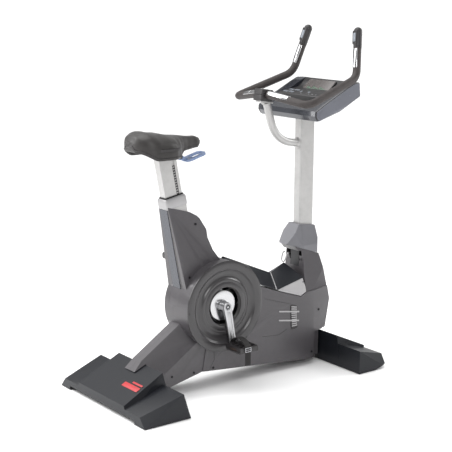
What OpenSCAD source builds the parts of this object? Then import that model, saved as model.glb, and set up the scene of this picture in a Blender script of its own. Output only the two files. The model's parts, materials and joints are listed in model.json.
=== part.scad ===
// Upright exercise bike. +X is forward, +Y the rider's left, +Z up, in millimetres.
// The origin is on the floor under the middle of the bounding box.
// Shapes are drawn about the crank axis (x = 0 there) and moved into place by machine().

/* [Overall] */
// Distance of the crank axis from the origin, along X
crank_x = -105; // [-115:1:-95]
// Height of the crank axis above the floor
crank_z = 363; // [355:1:370]
// Half of the overall width across the foot covers
foot_half_w = 325; // [315:1:335]

/* [Crank] */
// Crank arm length, from axle centre to pedal centre
crank_len = 170; // [165:2.5:175]
// How far the right arm is turned forward of straight down
crank_turn = 11.7; // [0:0.1:20]
// Sideways distance from the middle plane to the outer face of a crank arm
crank_face_y = 133.2; // [132.5:0.1:134]
// Length of a pedal body along its spindle
pedal_w = 100; // [90:1:105]
// Drive pulley radius
pulley_r = 150; // [140:1:155]
// Driven pulley radius on the flywheel shaft
driven_r = 25; // [22:0.5:30]

/* [Flywheel] */
// Flywheel radius
flywheel_r = 108; // [95:1:110]
// Flywheel thickness
flywheel_t = 26; // [18:1:28]

/* [Seat] */
// Angle by which the seat tube leans back
seat_lean = 11.3; // [10:0.1:12.5]
// Depth of the seat tube, front to back
seat_tube_d = 96; // [94:1:100]
// Width of the seat tube
seat_tube_w = 60; // [60:1:61]
// Depth of the seat post
post_d = 84; // [80:1:86]
// Width of the seat post
post_w = 38; // [34:1:40]

/* [Mast and handlebar] */
// Depth of the mast, front to back
mast_d = 80; // [76:1:81]
// Width of the mast
mast_w = 48; // [44:1:50]
// Radius of the padded handlebar
grip_r = 17; // [16:0.5:18]
// Radius of the steel bar inside the padding
bar_r = 12.7; // [12:0.1:13]

/* [Covers] */
// Wall thickness of the moulded covers
wall = 3; // [2.5:0.1:4]
// Radius of the round housing round the pulley
drum_r = 190; // [186:1:192]
// Outer face of the right dish, from the middle plane
drum_y = 112; // [110:1:113]

/* [Hidden] */
$fn = 64;

SHELL = [0.28, 0.27, 0.29];
SLATE = [0.22, 0.24, 0.29];
SILVER = [0.78, 0.77, 0.76];
STEEL = [0.6, 0.6, 0.62];
BLACK = [0.09, 0.09, 0.1];
COVER_GREY = [0.5, 0.5, 0.52];
gap = 0.4;

// Foot covers: x where each begins and ends, and heights along the slope
rear_in = -327;
rear_out = -548;
front_in = 591;
front_out = 758;

// Frame
rail_w = 50;
rail_h = 50;
rail_rear = [-420, 54];
rail_knee = [-100, 118];
rail_front = [619.8, 58];
cross_h = 40;
cross_low = 15;

// Seat tube axis passes through this point, (x, z)
seat_ref = [-190, 803];
seat_top = 36;
seat_len = 708;

// Flywheel shaft
fly = [300, 225];
belt_y = -52;
belt_w = 16;
belt_t = 4;
axle_r = 10;
bearing_r = 21;
bearing_w = 12;
brake_pivot = [88, 98];
brake_pin_r = 4;

// Mast
mast_x = 522;
mast_top = 1185;
socket_top = 600;

// Handlebar corners, right-hand side
bar_mid = [280, 0, 1238];
bar_low = [325, -249, 1202];
bar_high = [627, -211, 1302];
bar_tip = [676, -160, 1516];
bar_lead = bar_mid + [3, -30, -3];
low_corner = 50;
high_corner = 40;
pod_len = 92;
pod_r = 18.5;

// ---- helpers ----

// Moves a shape drawn about the crank axis into the machine's frame
module machine() {
    translate([crank_x, 0, 0]) children();
}

// Stands a side-view outline (x, z) up as a solid between two y values
module side(y0, y1) {
    translate([0, y1, 0]) rotate([90, 0, 0]) linear_extrude(y1 - y0) children();
}

// A cylinder along Y between two y values, at (x, z)
module across(p, y0, y1, r) {
    translate([p[0], y0, p[1]]) rotate([-90, 0, 0]) cylinder(r = r, h = y1 - y0);
}

// A box given by its low and high corners
module block(a, b) {
    translate(a) cube(b - a);
}

// A rectangle with round corners, centred
module round_rect(w, h, r) {
    hull() for (x = [-1, 1], y = [-1, 1]) translate([x * (w / 2 - r), y * (h / 2 - r)]) circle(r, $fn = 24);
}

// Points Z along the line from a to b, keeping local X roughly forward
module along(a, b) {
    v = b - a;
    turn = atan2(v[1], v[0]);
    translate(a) rotate([0, acos(v[2] / norm(v)), turn]) rotate([0, 0, -turn]) children();
}

// The seat tube's own frame: origin on its axis at seat_ref, Z up the tube
module seat_axis() {
    translate([seat_ref[0], 0, seat_ref[1]]) rotate([0, -seat_lean, 0]) children();
}

function mirrored(p) = [p[0], -p[1], p[2]];
function unit(v) = v / norm(v);
function bend(a, b, c, d, n) =
    let (p = b + unit(a - b) * d, q = b + unit(c - b) * d)
    [for (i = [0:n]) let (t = i / n) (1 - t) * (1 - t) * p + 2 * t * (1 - t) * b + t * t * q];

// Half of the handlebar's centre line, from the clamp to a tip
function bar_half() = concat([bar_mid, bar_lead], bend(bar_lead, bar_low, bar_high, low_corner, 7),
    bend(bar_low, bar_high, bar_tip, high_corner, 7), [bar_tip]);
function reversed(p) = [for (i = [len(p) - 1:-1:0]) p[i]];
bar_path = concat([for (p = reversed(bar_half())) mirrored(p)],
    [for (i = [1:len(bar_half()) - 1]) bar_half()[i]]);

// The handlebar's centre line, stopping short of each tip by the length given
function bar_short(cut) = [for (i = [0:len(bar_path) - 1])
    i == 0 ? bar_path[0] + unit(bar_path[1] - bar_path[0]) * cut :
    i == len(bar_path) - 1 ? bar_path[i] + unit(bar_path[i - 1] - bar_path[i]) * cut : bar_path[i]];

// A round bar swept along a list of points
sweep_up = unit([-0.6, 0, 0.8]);
module sweep(path, r, sides = 20) {
    n = len(path);
    rings = [for (i = [0:n - 1])
        let (t = unit(path[min(i + 1, n - 1)] - path[max(i - 1, 0)]),
             u = unit(cross(t, sweep_up)), w = cross(t, u))
        for (k = [0:sides - 1]) path[i] + r * (cos(360 * k / sides) * u + sin(360 * k / sides) * w)];
    walls = [for (i = [0:n - 2], k = [0:sides - 1])
        let (a = i * sides + k, b = i * sides + (k + 1) % sides) [a, a + sides, b + sides, b]];
    ends = [[for (k = [0:sides - 1]) k], [for (k = [sides - 1:-1:0]) (n - 1) * sides + k]];
    polyhedron(rings, concat(walls, ends), convexity = 8);
}

// ---- frame ----

module cross_tube(x0, x1, half) {
    difference() {
        block([x0, -half, cross_low], [x1, half, cross_low + cross_h]);
        block([x0 + 3, -half - 1, cross_low + 3], [x1 - 3, half + 1, cross_low + cross_h - 3]);
    }
}

module rear_cross_tube() {
    color(BLACK) machine() cross_tube(-480, -420, 285);
}

module front_cross_tube() {
    color(BLACK) machine() cross_tube(620, 676, 270);
}

module rail_outline(h) {
    polygon([rail_rear + [0, -h / 2], rail_knee + [0, -h / 2], rail_front + [0, -h / 2],
             rail_front + [0, h / 2], rail_knee + [0, h / 2], rail_rear + [0, h / 2]]);
}

module base_rail() {
    color(BLACK) machine() difference() {
        side(-rail_w / 2, rail_w / 2) rail_outline(rail_h);
        side(-rail_w / 2 + 3, rail_w / 2 - 3) rail_outline(rail_h - 6);
    }
}

// The seat tube stands on the rail and guides the post; its rear and its collar show
module seat_tube() {
    color(SILVER) machine() difference() {
        seat_axis() translate([0, 0, seat_top - seat_len]) linear_extrude(seat_len) difference() {
            square([seat_tube_d, seat_tube_w], center = true);
            square([post_d + 1.2, post_w + 1.2], center = true);
        }
        side(-60, 60) polygon([[-400, 0], [200, 0], [200, 143], [-100, 143.5], [-400, 84]]);
    }
}

module crank_housing() {
    p = [0, crank_z];
    color(BLACK) machine() difference() {
        union() {
            across(p, -35, 35, bearing_r + 6);
            side(-20, 20) polygon([[-80, crank_z - 30], [-20, crank_z - 26], [-20, 130], [20, 130],
                                   [20, crank_z], [0, crank_z + 26], [-80, crank_z + 30]]);
        }
        across(p, -40, 40, bearing_r);
        seat_axis() translate([-seat_tube_d / 2 - 30, -40, -800]) cube([seat_tube_d + 30.3, 80, 900]);
        side(-60, 60) polygon([[-100, 0], [200, 0], [200, 118.2], [-100, 143.5]]);
    }
}

module flywheel_housing() {
    color(BLACK) machine() difference() {
        union() {
            across(fly, -30, 30, bearing_r + 5);
            block([fly[0] - 22, -20, 100], [fly[0] + 22, 20, fly[1]]);
            side(12, 20) polygon([fly + [0, -26], fly + brake_pivot + [10, -6], fly + brake_pivot + [-4, 10],
                                  fly + [-20, 16]]);
        }
        across(fly, -40, 40, bearing_r);
        side(-60, 60) polygon([[200, 0], [400, 0], [400, 101.8], [200, 118.4]]);
    }
    color(STEEL) machine() across(fly + brake_pivot, 20, 34 + flywheel_t + 12, brake_pin_r - 0.06);
}

module mast_socket() {
    color(BLACK) machine() translate([mast_x, 0, 100]) linear_extrude(socket_top - 100) difference() {
        square([mast_d + 8, mast_w + 8], center = true);
        square([mast_d + 1, mast_w + 1], center = true);
    }
}

// ---- foot covers ----

// A tapered block: inner edge x_in, outer edge x_out, with its own heights and half widths
module foot_block(x_in, x_top, x_out, z_in, z_out, w_in, w_out, w_base, z0) {
    pts = [for (s = [-1, 1]) each [[x_in, s * w_base, z0], [x_out, s * w_base, z0],
                                   [x_top, s * w_in, z_in], [x_out, s * w_out, z_out]]];
    hull() polyhedron(pts, [[0, 1, 3, 2], [4, 6, 7, 5], [0, 4, 5, 1], [2, 3, 7, 6], [0, 2, 6, 4],
                            [1, 5, 7, 3]]);
}

// Ends low and a raised middle, open underneath, with an arch along the outer edge
module foot_cover(x_in, x_top, x_out, z_mid, z_mid_out, z_end, z_end_out, low) {
    d = x_in > x_out ? 1 : -1;
    difference() {
        union() {
            foot_block(x_in, x_top, x_out, z_end, z_end_out, foot_half_w - 10, foot_half_w - 35,
                       foot_half_w, 3);
            foot_block(x_in, x_top, x_out, z_mid, z_mid_out, 165, 175, 190, 3);
        }
        foot_block(x_in - d * wall, x_top - d * wall, x_out + d * wall, z_end - wall, z_end_out - wall,
                   foot_half_w - 13, foot_half_w - 38, foot_half_w - 3, -1);
        foot_block(x_in - d * wall, x_top - d * wall, x_out + d * wall, z_mid - wall, z_mid_out - wall,
                   162, 172, 187, -1);
        translate([x_in + d * 10, 0, 0]) cube([80, rail_w + 4, 2 * low], center = true);
        translate([x_out, 0, 0]) cube([20, 2 * foot_half_w - 150, 36], center = true);
    }
}

module rear_foot_cover() {
    color(SLATE) machine() foot_cover(rear_in, rear_in - 28, rear_out, 153, 56, 105, 43, 96);
}

module front_foot_cover() {
    color(SLATE) machine() difference() {
        foot_cover(front_in, front_in + 9, front_out, 140, 70, 103, 60, 92);
        side(-400, 400) polygon([[676, -1], [front_out + 1, -1], [front_out + 1, 20]]);
        for (s = [-1, 1]) translate([front_out - 30, s * 250, 0]) cube([90, 44, 62], center = true);
    }
}

module levelling_feet() {
    color(BLACK) machine() for (s = [-1, 1], x = [-450, 640]) translate([x, s * (x < 0 ? 262 : 235), 0]) {
        cylinder(r = 22, h = 8);
        cylinder(r = 8, h = cross_low);
    }
}

// ---- covers over the drive ----

body_side = [[-95, 84], [449, 34], [535, 29], [535, 150], [612, 158], [640, 287], [622, 350],
             [482, 345], [447, 328], [330, 367], [205, 415], [60, 440], [-60, 300]];
neck_side = [[500, 31], [588, 26], [588, 143], [609, 143], [612, 200], [500, 200]];
mast_side = [[440, 300], [637, 300], [572, 507], [437, 551], [466, 520], [479, 480], [476, 430],
             [482, 345]];
leg_side = [[-325, 14], [-353.5, 157], [-408, 131], [-371, 169], [-150, 313], [-30, 330], [-30, 86],
            [-95, 84], [-251, 50]];
tower_side = [[-238, 800], [-132, 772], [-95, 752], [-82, 740], [-50, 690], [-46, 655], [-22, 600],
              [20, 545], [20, 470], [-120, 440], [-160, 410]];

// One hand of the housing as a solid; inset shrinks it all round
module housing(inset) {
    body_w = 85 - inset;
    intersection() {
        side(-body_w, 0) offset(delta = -inset) polygon(body_side);
        linear_extrude(900) polygon([[-200, 1], [700, 1], [700, -47.5 + inset], [520, -85 + inset],
                                     [-200, -85 + inset]]);
    }
    side(-48 + inset, 0) offset(delta = -inset) polygon(neck_side);
    difference() {
        side(-80 + inset, 0) offset(delta = -inset) polygon(mast_side);
        translate([300, -80 + inset, 345]) rotate([-8.5, 0, 0]) translate([0, -100, -5])
            cube([400, 100, 300]);
        translate([520, -80 + inset, 290]) rotate([0, 0, 11]) translate([0, -100, 0])
            cube([200, 100, 300]);
    }
    difference() {
        side(-82 + inset, 0) offset(delta = -inset) polygon(leg_side);
        translate([-371, -30 + inset, 169 - inset]) rotate([0, -33.1, 0]) rotate([-29, 0, 0])
            translate([-200, -200, -250]) cube([600, 200, 500]);
    }
    difference() {
        side(-70 + inset, 0) offset(delta = -inset) polygon(tower_side);
        translate([-400, -34.5 + inset, 800]) rotate([-5.3, 0, 0]) translate([0, -100, -500])
            cube([600, 100, 600]);
    }
}

// Space kept clear for the frame where it leaves the housing
module frame_room() {
    seat_axis() translate([-seat_tube_d / 2 - 40, -seat_tube_w / 2 - gap, -420])
        cube([seat_tube_d + 60, seat_tube_w + 2 * gap, 520]);
    block([-420, -rail_w / 2 - 2, 0], [-300, rail_w / 2 + 2, 100]);
    block([570, -rail_w / 2 - 2, 30], [620, rail_w / 2 + 2, 92]);
    block([400, -90, 395], [474, 90, 530]);
    block([mast_x - 52, -35, 480], [mast_x + 52, 35, 620]);
    block([mast_x - 44.6, -29.5, 95], [mast_x + 45, 29.5, 620]);
}

module right_shell() {
    color(SHELL) machine() difference() {
        union() {
            housing(0);
            across([0, crank_z], -drum_y, 0, drum_r);
        }
        translate([0, 0.2, 0]) housing(wall);
        across([0, crank_z], -drum_y + wall, 1, drum_r - wall);
        across([0, crank_z], -drum_y - 1, 0, drum_r - wall - 6);
        frame_room();
        block([-500, -0.2, 0], [700, 5, 900]);
    }
}

module left_drum(inset) {
    across([0, crank_z], 0, 62, drum_r - inset);
    translate([0, 62, crank_z]) rotate([-90, 0, 0])
        cylinder(r1 = drum_r - inset, r2 = 166 - inset, h = 26 - inset);
}

module left_shell() {
    color(SHELL) machine() difference() {
        union() {
            mirror([0, 1, 0]) housing(0);
            left_drum(0);
        }
        translate([0, -0.2, 0]) mirror([0, 1, 0]) housing(wall);
        left_drum(wall);
        across([0, crank_z], -1, 5, drum_r - wall);
        across([0, crank_z], 0, 100, 160 - wall);
        frame_room();
        block([-500, -5, 0], [700, 0.2, 900]);
    }
}

// A revolved cover about the crank axis; profile is (radius, distance from the middle plane)
module dish(profile, hand) {
    translate([0, 0, crank_z]) rotate([hand * 90, 0, 0]) rotate_extrude($fn = 96) polygon(profile);
}

module right_dish_cover() {
    color(SHELL) machine() dish([[197, 112.3], [197, 117], [195, 118.5], [161, 118.5], [154, 111],
        [140, 107], [124, 108], [118, 114], [86, 115.5], [83, 114], [83, 96], [85.5, 96], [85.5, 112],
        [116, 111.5], [121.5, 105.5], [140, 104.3], [155.5, 108.5], [162, 115.5], [186, 115.5],
        [186, 112.3]], 1);
}

module left_dish_cover() {
    color(SHELL) machine() dish([[166, 88.3], [164, 92], [128, 92], [120, 90], [118, 91.5], [86, 92.5],
        [83, 91], [83, 76], [85.5, 76], [85.5, 89.5], [117, 88.5], [120, 87], [129, 88.3]], -1);
}

// Roof panels between the round housing and the mast, one quad each, sloping to both sides
module roof(quad, t) {
    low = [for (p = quad) p - [0, 0, t]];
    hull() polyhedron(concat(low, quad), [[0, 1, 2, 3], [4, 5, 1, 0], [7, 6, 5, 4], [5, 6, 2, 1],
                                          [6, 7, 3, 2], [7, 4, 0, 3]]);
}

module top_cover() {
    color(SLATE) machine() difference() {
        for (s = [-1, 1]) {
            roof([[40, 0, 563], [338, 0, 438], [306, s * 84, 382], [60, s * 84, 485]], wall);
            roof([[338, 0, 438], [415, 0, 475], [458, s * 84, 418], [306, s * 84, 382]], wall);
        }
        across([0, crank_z], -drum_y - 2, 1, drum_r + gap);
        across([0, crank_z], 0, 62, drum_r + gap);
        translate([0, 62, crank_z]) rotate([-90, 0, 0]) cylinder(r1 = drum_r + gap, r2 = 166 + gap, h = 26);
        block([0, -80, 500], [70, 80, 600]);
    }
}

module side_panels() {
    color(SILVER) machine() for (s = [-1, 1]) side(s * 82.5 - 1.2, s * 82.5 + 1.2)
        polygon([[331, 370], [312, 379.5], [455, 413], [473, 372], [478, 347.5], [447, 332]]);
}

// Screw heads on each side: x, z and distance from the middle plane
screw_spots = [[-252, 92, 82.3], [-140, 88, 82.3], [-40, 92, 85.3], [150, 112, 85.3], [516, 60, 85.3],
               [560, 250, 78], [-105, 718, 43.4], [-150, 500, 64.2]];
module shell_screws() {
    color(BLACK) machine() for (hand = [0, 1], p = screw_spots)
        mirror([0, hand, 0]) across(p, p[2], p[2] + 2, 5);
}

// ---- mast ----

module mast() {
    color(SILVER) machine() translate([mast_x, 0, 420]) linear_extrude(mast_top - 420) difference() {
        round_rect(mast_d, mast_w, 9);
        round_rect(mast_d - 5, mast_w - 5, 6.5);
    }
}

cover_side = [[405, 562], [470, 648], [561, 636], [576, 552], [577, 506]];
cover_plan = [[404, -24], [412, -31], [470, -52], [480, -54], [565, -54], [578, -41], [578, 41], [565, 54],
              [480, 54], [470, 52], [412, 31], [404, 24]];
cover_front = [[-54, 490], [54, 490], [54, 552], [34, 655], [-34, 655], [-54, 552]];
cover_split_x = mast_x - mast_d / 2;

// The mast cover as a solid, one outline each from the side, from above and from the front
module mast_cover_solid(inset) {
    intersection() {
        side(-60, 60) offset(delta = -inset) polygon(cover_side);
        translate([0, 0, 480]) linear_extrude(200) offset(delta = -inset) polygon(cover_plan);
        translate([700, 0, 0]) rotate([90, 0, -90]) linear_extrude(400) offset(delta = -inset)
            polygon(cover_front);
    }
}

module mast_cover_shell() {
    difference() {
        mast_cover_solid(0);
        mast_cover_solid(wall);
        block([mast_x - 47.5, -31.5, 480], [mast_x + 47.5, 31.5, 601]);
        block([mast_x - 41, -25, 480], [mast_x + 41, 25, 700]);
    }
}

module mast_cover_rear() {
    color(COVER_GREY) machine() intersection() {
        mast_cover_shell();
        block([300, -100, 400], [cover_split_x - 0.2, 100, 700]);
    }
}

module mast_cover_front() {
    color(COVER_GREY) machine() intersection() {
        mast_cover_shell();
        block([cover_split_x + 0.2, -100, 400], [700, 100, 700]);
    }
}

// ---- handlebar ----

stem_foot = [mast_x - mast_d / 2 - 2.2, 0, 1010];
stem_path = concat([[302, 0, 1195.5], [306, 0, 1180]],
    bend([306, 0, 1180], [355, 0, 1022], stem_foot, 100, 5), [stem_foot]);
stem_r = 17;
clamp_tilt = 8;
seat_of_clamp = [289, 0, 1197];
plate_t = 7;

module handlebar_stem() {
    color(SILVER) machine() {
        sweep(stem_path, stem_r, 12);
        translate(seat_of_clamp) rotate([0, clamp_tilt, 0]) linear_extrude(plate_t) round_rect(66, 46, 8);
    }
}

module handlebar_clamp() {
    color(BLACK) machine() difference() {
        translate([283, 0, 1230]) rotate([0, clamp_tilt, 0]) translate([0, 0, -26]) linear_extrude(52)
            round_rect(66, 58, 8);
        sweep(bar_path, bar_r + 0.05);
        translate(seat_of_clamp) rotate([0, clamp_tilt, 0]) translate([-50, -50, -20])
            cube([100, 100, 20.3 + plate_t]);
    }
}

module handlebar_tube() {
    color(STEEL) machine() difference() {
        sweep(bar_short(8), bar_r);
        sweep(bar_short(4), bar_r - 2.2);
    }
}

module grip_sleeve() {
    color(BLACK) machine() difference() {
        sweep(bar_short(pod_len + 1), grip_r);
        sweep(bar_short(0), bar_r + 0.3);
        translate([283, 0, 1230]) rotate([0, clamp_tilt, 0]) cube([90, 59, 90], center = true);
        sensor_room();
    }
}

// A curved plate along the line from a to b, between two distances, facing the angle given
module plate_sector(a, b, near, far, facing, r0, r1) {
    along(a + unit(b - a) * near, b) rotate([0, 0, facing - 50]) rotate_extrude(angle = 100, $fn = 48)
        translate([r0, 0]) square([r1 - r0, far - near]);
}

// Pulse sensor plates: two on the cross bar and two on the uprights, all towards the rider
module sensor_shape(r0, r1) {
    plate_sector(bar_lead, bar_low, 8, 118, 135, r0, r1);
    plate_sector(mirrored(bar_lead), mirrored(bar_low), 8, 118, 225, r0, r1);
    plate_sector(bar_high, bar_tip, 44, 129, 180, r0, r1);
    plate_sector(mirrored(bar_high), mirrored(bar_tip), 44, 129, 180, r0, r1);
}

module sensor_room() {
    sensor_shape(grip_r - 2, grip_r + 3);
}

module pulse_sensors() {
    color(SILVER) machine() intersection() {
        sensor_shape(grip_r - 1.7, grip_r + 0.2);
        translate([200, -300, 1000]) cube([500, 600, 520]);
    }
}

// Places shapes at the foot of a pod, Z up the grip; side is 1 on the right and -1 on the left
module pod_axis(side) {
    high = [bar_high[0], side * bar_high[1], bar_high[2]];
    tip = [bar_tip[0], side * bar_tip[1], bar_tip[2]];
    along(tip - unit(tip - high) * pod_len, tip) children();
}

rocker_pin = [-19.3, 0, 44];
rocker_pin_r = 1.5;

// Thumb control housings that close the ends of the uprights
module pod(side) {
    pod_axis(side) difference() {
        union() {
            cylinder(r = pod_r, h = pod_len - pod_r);
            translate([0, 0, pod_len - pod_r]) rotate_extrude() intersection() {
                circle(r = pod_r);
                square(40);
            }
            translate([-21.5, -12, 14]) cube([21.5, 24, 60]);
        }
        translate([0, 0, -1]) cylinder(r = bar_r + 0.3, h = pod_len - 6);
        translate([-24, -8, 24]) cube([7.8, 16, 40]);
        translate(rocker_pin) rotate([90, 0, 0]) cylinder(r = rocker_pin_r + 0.06, h = 20, center = true);
    }
}

// A rocker with its pivot pin, which turns in the sides of the pod
module rocker(side) {
    pod_axis(side) {
        difference() {
            translate([-23.4, -7.4, 24.8]) cube([4.6, 14.8, 38.4]);
            translate([-29.7, -20, 44]) rotate([-90, 0, 0]) cylinder(r = 7, h = 40);
        }
        translate(rocker_pin) rotate([90, 0, 0]) cylinder(r = 2.4, h = 14.8, center = true);
        translate(rocker_pin) rotate([90, 0, 0]) cylinder(r = rocker_pin_r, h = 19, center = true);
    }
}

module right_pod() {
    color(BLACK) machine() pod(1);
}

module left_pod() {
    color(BLACK) machine() pod(-1);
}

module right_rocker() {
    color(STEEL) machine() rocker(1);
}

module left_rocker() {
    color(STEEL) machine() rocker(-1);
}

// ---- console ----

console_half = 197;
panel_half = 135;
console_side = [[427, 1124], [412, 1146], [414, 1168], [546, 1243], [640, 1283], [664, 1281],
                [669, 1221], [551, 1160]];
panel_side = [[472, 1200], [470, 1224], [590, 1240], [636, 1284], [648, 1282], [640, 1262], [604, 1226]];

module console_shell() {
    color(SLATE) machine() difference() {
        side(-console_half, console_half) polygon(console_side);
        side(-console_half + wall, console_half - wall) offset(delta = -wall) polygon(console_side);
        side(-panel_half - gap, panel_half + gap) polygon([[471, 1180], [468, 1240], [480, 1300],
            [660, 1300], [660, 1259], [640, 1259], [602, 1222]]);
        translate([mast_x, 0, 1130]) cube([mast_d + 4, mast_w + 4, 120], center = true);
    }
}

module console_panel() {
    color(BLACK) machine() difference() {
        union() {
            side(-panel_half, panel_half) polygon(panel_side);
            translate([640, 0, 1278]) rotate([0, -30, 0]) linear_extrude(16) round_rect(34, 92, 16);
        }
        display_block(0.3);
        for (s = [-1, 1]) key_shape(s, 0.5, 12);
    }
}

// The display sits on the steep upper face of the panel
module display_block(grow) {
    translate([592, 0, 1244]) rotate([0, -43.7, 0]) translate([4 - grow, -92 - grow, -4.5 - grow])
        cube([44 + 2 * grow, 184 + 2 * grow, 6 + 2 * grow]);
}

module display_lens() {
    color([0.12, 0.07, 0.05]) machine() display_block(0);
}

module key_shape(s, grow, depth) {
    translate([520, s * 26, 1229.6]) rotate([0, -7.6, 0]) translate([0, 0, -depth + 4])
        cylinder(r = 7.5 + grow, h = depth, $fn = 32);
}

module start_key() {
    color([0.7, 0.75, 0.8]) machine() key_shape(1, 0, 9);
}

module stop_key() {
    color([0.7, 0.75, 0.8]) machine() key_shape(-1, 0, 9);
}

module console_bracket() {
    color(BLACK) machine() block([mast_x - 42, -60, mast_top], [mast_x + 42, 60, mast_top + 4]);
}

// ---- drive ----

module bearings() {
    color(STEEL) machine() for (s = [-1, 1], place = [[0, crank_z, 29], [fly[0], fly[1], 24]]) {
        y = s * place[2];
        difference() {
            across([place[0], place[1]], y - bearing_w / 2, y + bearing_w / 2, bearing_r - 0.02);
            across([place[0], place[1]], y - 20, y + 20, axle_r + 0.05);
        }
    }
}

module crank_axle() {
    color(STEEL) machine() across([0, crank_z], -118.8, 118.8, axle_r);
}

module drive_pulley() {
    color([0.3, 0.3, 0.3]) machine() difference() {
        union() {
            across([0, crank_z], belt_y - belt_w / 2, belt_y + belt_w / 2, pulley_r);
            across([0, crank_z], belt_y - belt_w / 2, -36, 26);
        }
        across([0, crank_z], -100, 0, axle_r);
        for (a = [0:60:300]) across([92 * cos(a), crank_z + 92 * sin(a)], -100, 0, 30);
        across([0, crank_z], belt_y - belt_w / 2 - 1, belt_y - 4, pulley_r - 14);
    }
}

module flywheel_shaft() {
    color(STEEL) machine() {
        across(fly, -66, 34, axle_r);
        across(fly, 34, 64, axle_r - 1);
        difference() {
            across(fly, belt_y - belt_w / 2, belt_y + belt_w / 2, driven_r);
            across(fly, belt_y - belt_w, belt_y + belt_w, axle_r - 0.5);
        }
    }
}

module flywheel() {
    color(STEEL) machine() difference() {
        across(fly, 34, 34 + flywheel_t, flywheel_r);
        across(fly, 30, 70, axle_r - 1);
        across(fly, 34 + flywheel_t - 8, 70, flywheel_r - 26);
    }
}

module drive_belt() {
    color(BLACK) machine() side(belt_y - 7, belt_y + 7) difference() {
        belt_line(belt_t + gap);
        belt_line(gap);
    }
}

module belt_line(grow) {
    hull() {
        translate([0, crank_z]) circle(pulley_r + grow, $fn = 96);
        translate(fly) circle(driven_r + grow, $fn = 48);
    }
}

// Magnet arm of the eddy-current brake, a channel over the flywheel's rim
module brake_arm() {
    color(STEEL) machine() difference() {
        union() {
            intersection() {
                across(fly, 26, 26 + flywheel_t + 16, flywheel_r + 14);
                side(20, 80) polygon([fly, fly + [-60, 160], fly + [110, 160]]);
            }
            across(fly + brake_pivot, 26, 26 + flywheel_t + 16, 9);
        }
        across(fly, 32.5, 34 + flywheel_t + 1.5, flywheel_r + 6);
        across(fly, 0, 100, flywheel_r - 22);
        across(fly + brake_pivot, 0, 100, brake_pin_r);
    }
}

// ---- cranks and pedals ----

crank_in_y = 119.6;
crank_hub_r = 21;
hub_in_y = 98.3;
bolt_seat_y = crank_face_y - 9;

// Pedal centre (x, z): hand is 1 for the right arm and -1 for the left
function pedal_at(hand) = [hand * crank_len * sin(crank_turn), crank_z - hand * crank_len * cos(crank_turn)];

// Draws on the right side or the left what is drawn on the left
module on_side(hand) {
    mirror([0, hand > 0 ? 1 : 0, 0]) children();
}

module crank_arm(hand) {
    axle = [0, crank_z];
    p = pedal_at(hand);
    waist = (2 * axle + p) / 3;
    on_side(hand) difference() {
        union() {
            across(axle, hub_in_y, crank_face_y, crank_hub_r);
            hull() {
                across(axle, crank_in_y, crank_face_y, crank_hub_r);
                across(waist, crank_in_y, crank_face_y, 14);
            }
            hull() {
                across(waist, crank_in_y, crank_face_y, 14);
                across(p, crank_in_y, crank_face_y, 15);
            }
        }
        across(axle, 90, 200, axle_r);
        across(axle, bolt_seat_y, 200, 12);
        across(p, 90, 200, 7.2);
    }
}

module right_crank() {
    color(SILVER) machine() crank_arm(1);
}

module left_crank() {
    color(SILVER) machine() crank_arm(-1);
}

module crank_discs() {
    color(SILVER) machine() for (hand = [-1, 1]) on_side(hand) difference() {
        across([0, crank_z], 94.5, 98, 65.5);
        across([0, crank_z], 90, 200, axle_r);
    }
}

module crank_bolts() {
    color(STEEL) machine() for (hand = [-1, 1]) on_side(hand) difference() {
        union() {
            across([0, crank_z], 119.2, bolt_seat_y + 0.3, 8);
            across([0, crank_z], bolt_seat_y + 0.2, bolt_seat_y + 5.2, 11);
        }
        translate([0, bolt_seat_y + 5.2, crank_z]) rotate([90, 0, 0])
            cylinder(r = 5, h = 7, center = true, $fn = 6);
    }
}

// Distance from the middle plane to the inner end of a pedal body
pedal_in = 138;
module pedal_spindles() {
    color(STEEL) machine() for (hand = [-1, 1]) on_side(hand) {
        across(pedal_at(hand), crank_face_y - 13, pedal_in + pedal_w - 6, 6);
        across(pedal_at(hand), crank_face_y + 0.3, pedal_in + 6, 9);
    }
}

module pedal_body(hand) {
    p = pedal_at(hand);
    on_side(hand) difference() {
        translate([p[0], pedal_in, p[1]]) rotate([-90, 0, 0]) linear_extrude(pedal_w)
            polygon([[-48, -6], [-40, -13], [40, -13], [48, -6], [48, 6], [40, 13], [-40, 13], [-48, 6]]);
        across(p, 100, 300, 6.08);
        across(p, pedal_in - 0.1, pedal_in + 20, 12);
        for (x = [-28, 28], y = [22, 50, 78]) translate([p[0] + x, pedal_in + y, p[1]])
            cube([22, 20, 60], center = true);
    }
}

module right_pedal() {
    color(BLACK) machine() pedal_body(1);
}

module left_pedal() {
    color(BLACK) machine() pedal_body(-1);
}

// Toe strap: an arch over the pedal with a tail that hangs at the outer side
module strap(hand) {
    p = pedal_at(hand);
    mid = [p[0] - 24, pedal_in + pedal_w / 2, p[1]];
    on_side(hand) translate(mid) rotate([90, 0, 90]) linear_extrude(30) {
        difference() {
            intersection() {
                translate([0, -22]) circle(r = 66, $fn = 96);
                translate([-54.2, 13.2]) square([134.2, 80]);
            }
            translate([0, -22]) circle(r = 63, $fn = 96);
        }
        translate([50.4, -66]) square([3, 82]);
        translate([-53.4, 9.5]) square([3, 6.5]);
    }
}

module right_strap() {
    color(BLACK) machine() strap(1);
}

module left_strap() {
    color(BLACK) machine() strap(-1);
}

// ---- transport wheels ----

wheel_at = [716, 32];
module wheel_axles() {
    color(STEEL) machine() for (y = [-250, 250]) {
        across(wheel_at, y - 18, y + 18, 5);
        for (ear = [-16, 16]) difference() {
            block([676.2, y + ear - 1.5, 20], [wheel_at[0] + 8, y + ear + 1.5, 42]);
            across(wheel_at, y - 60, y + 60, 5);
        }
    }
}

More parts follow.
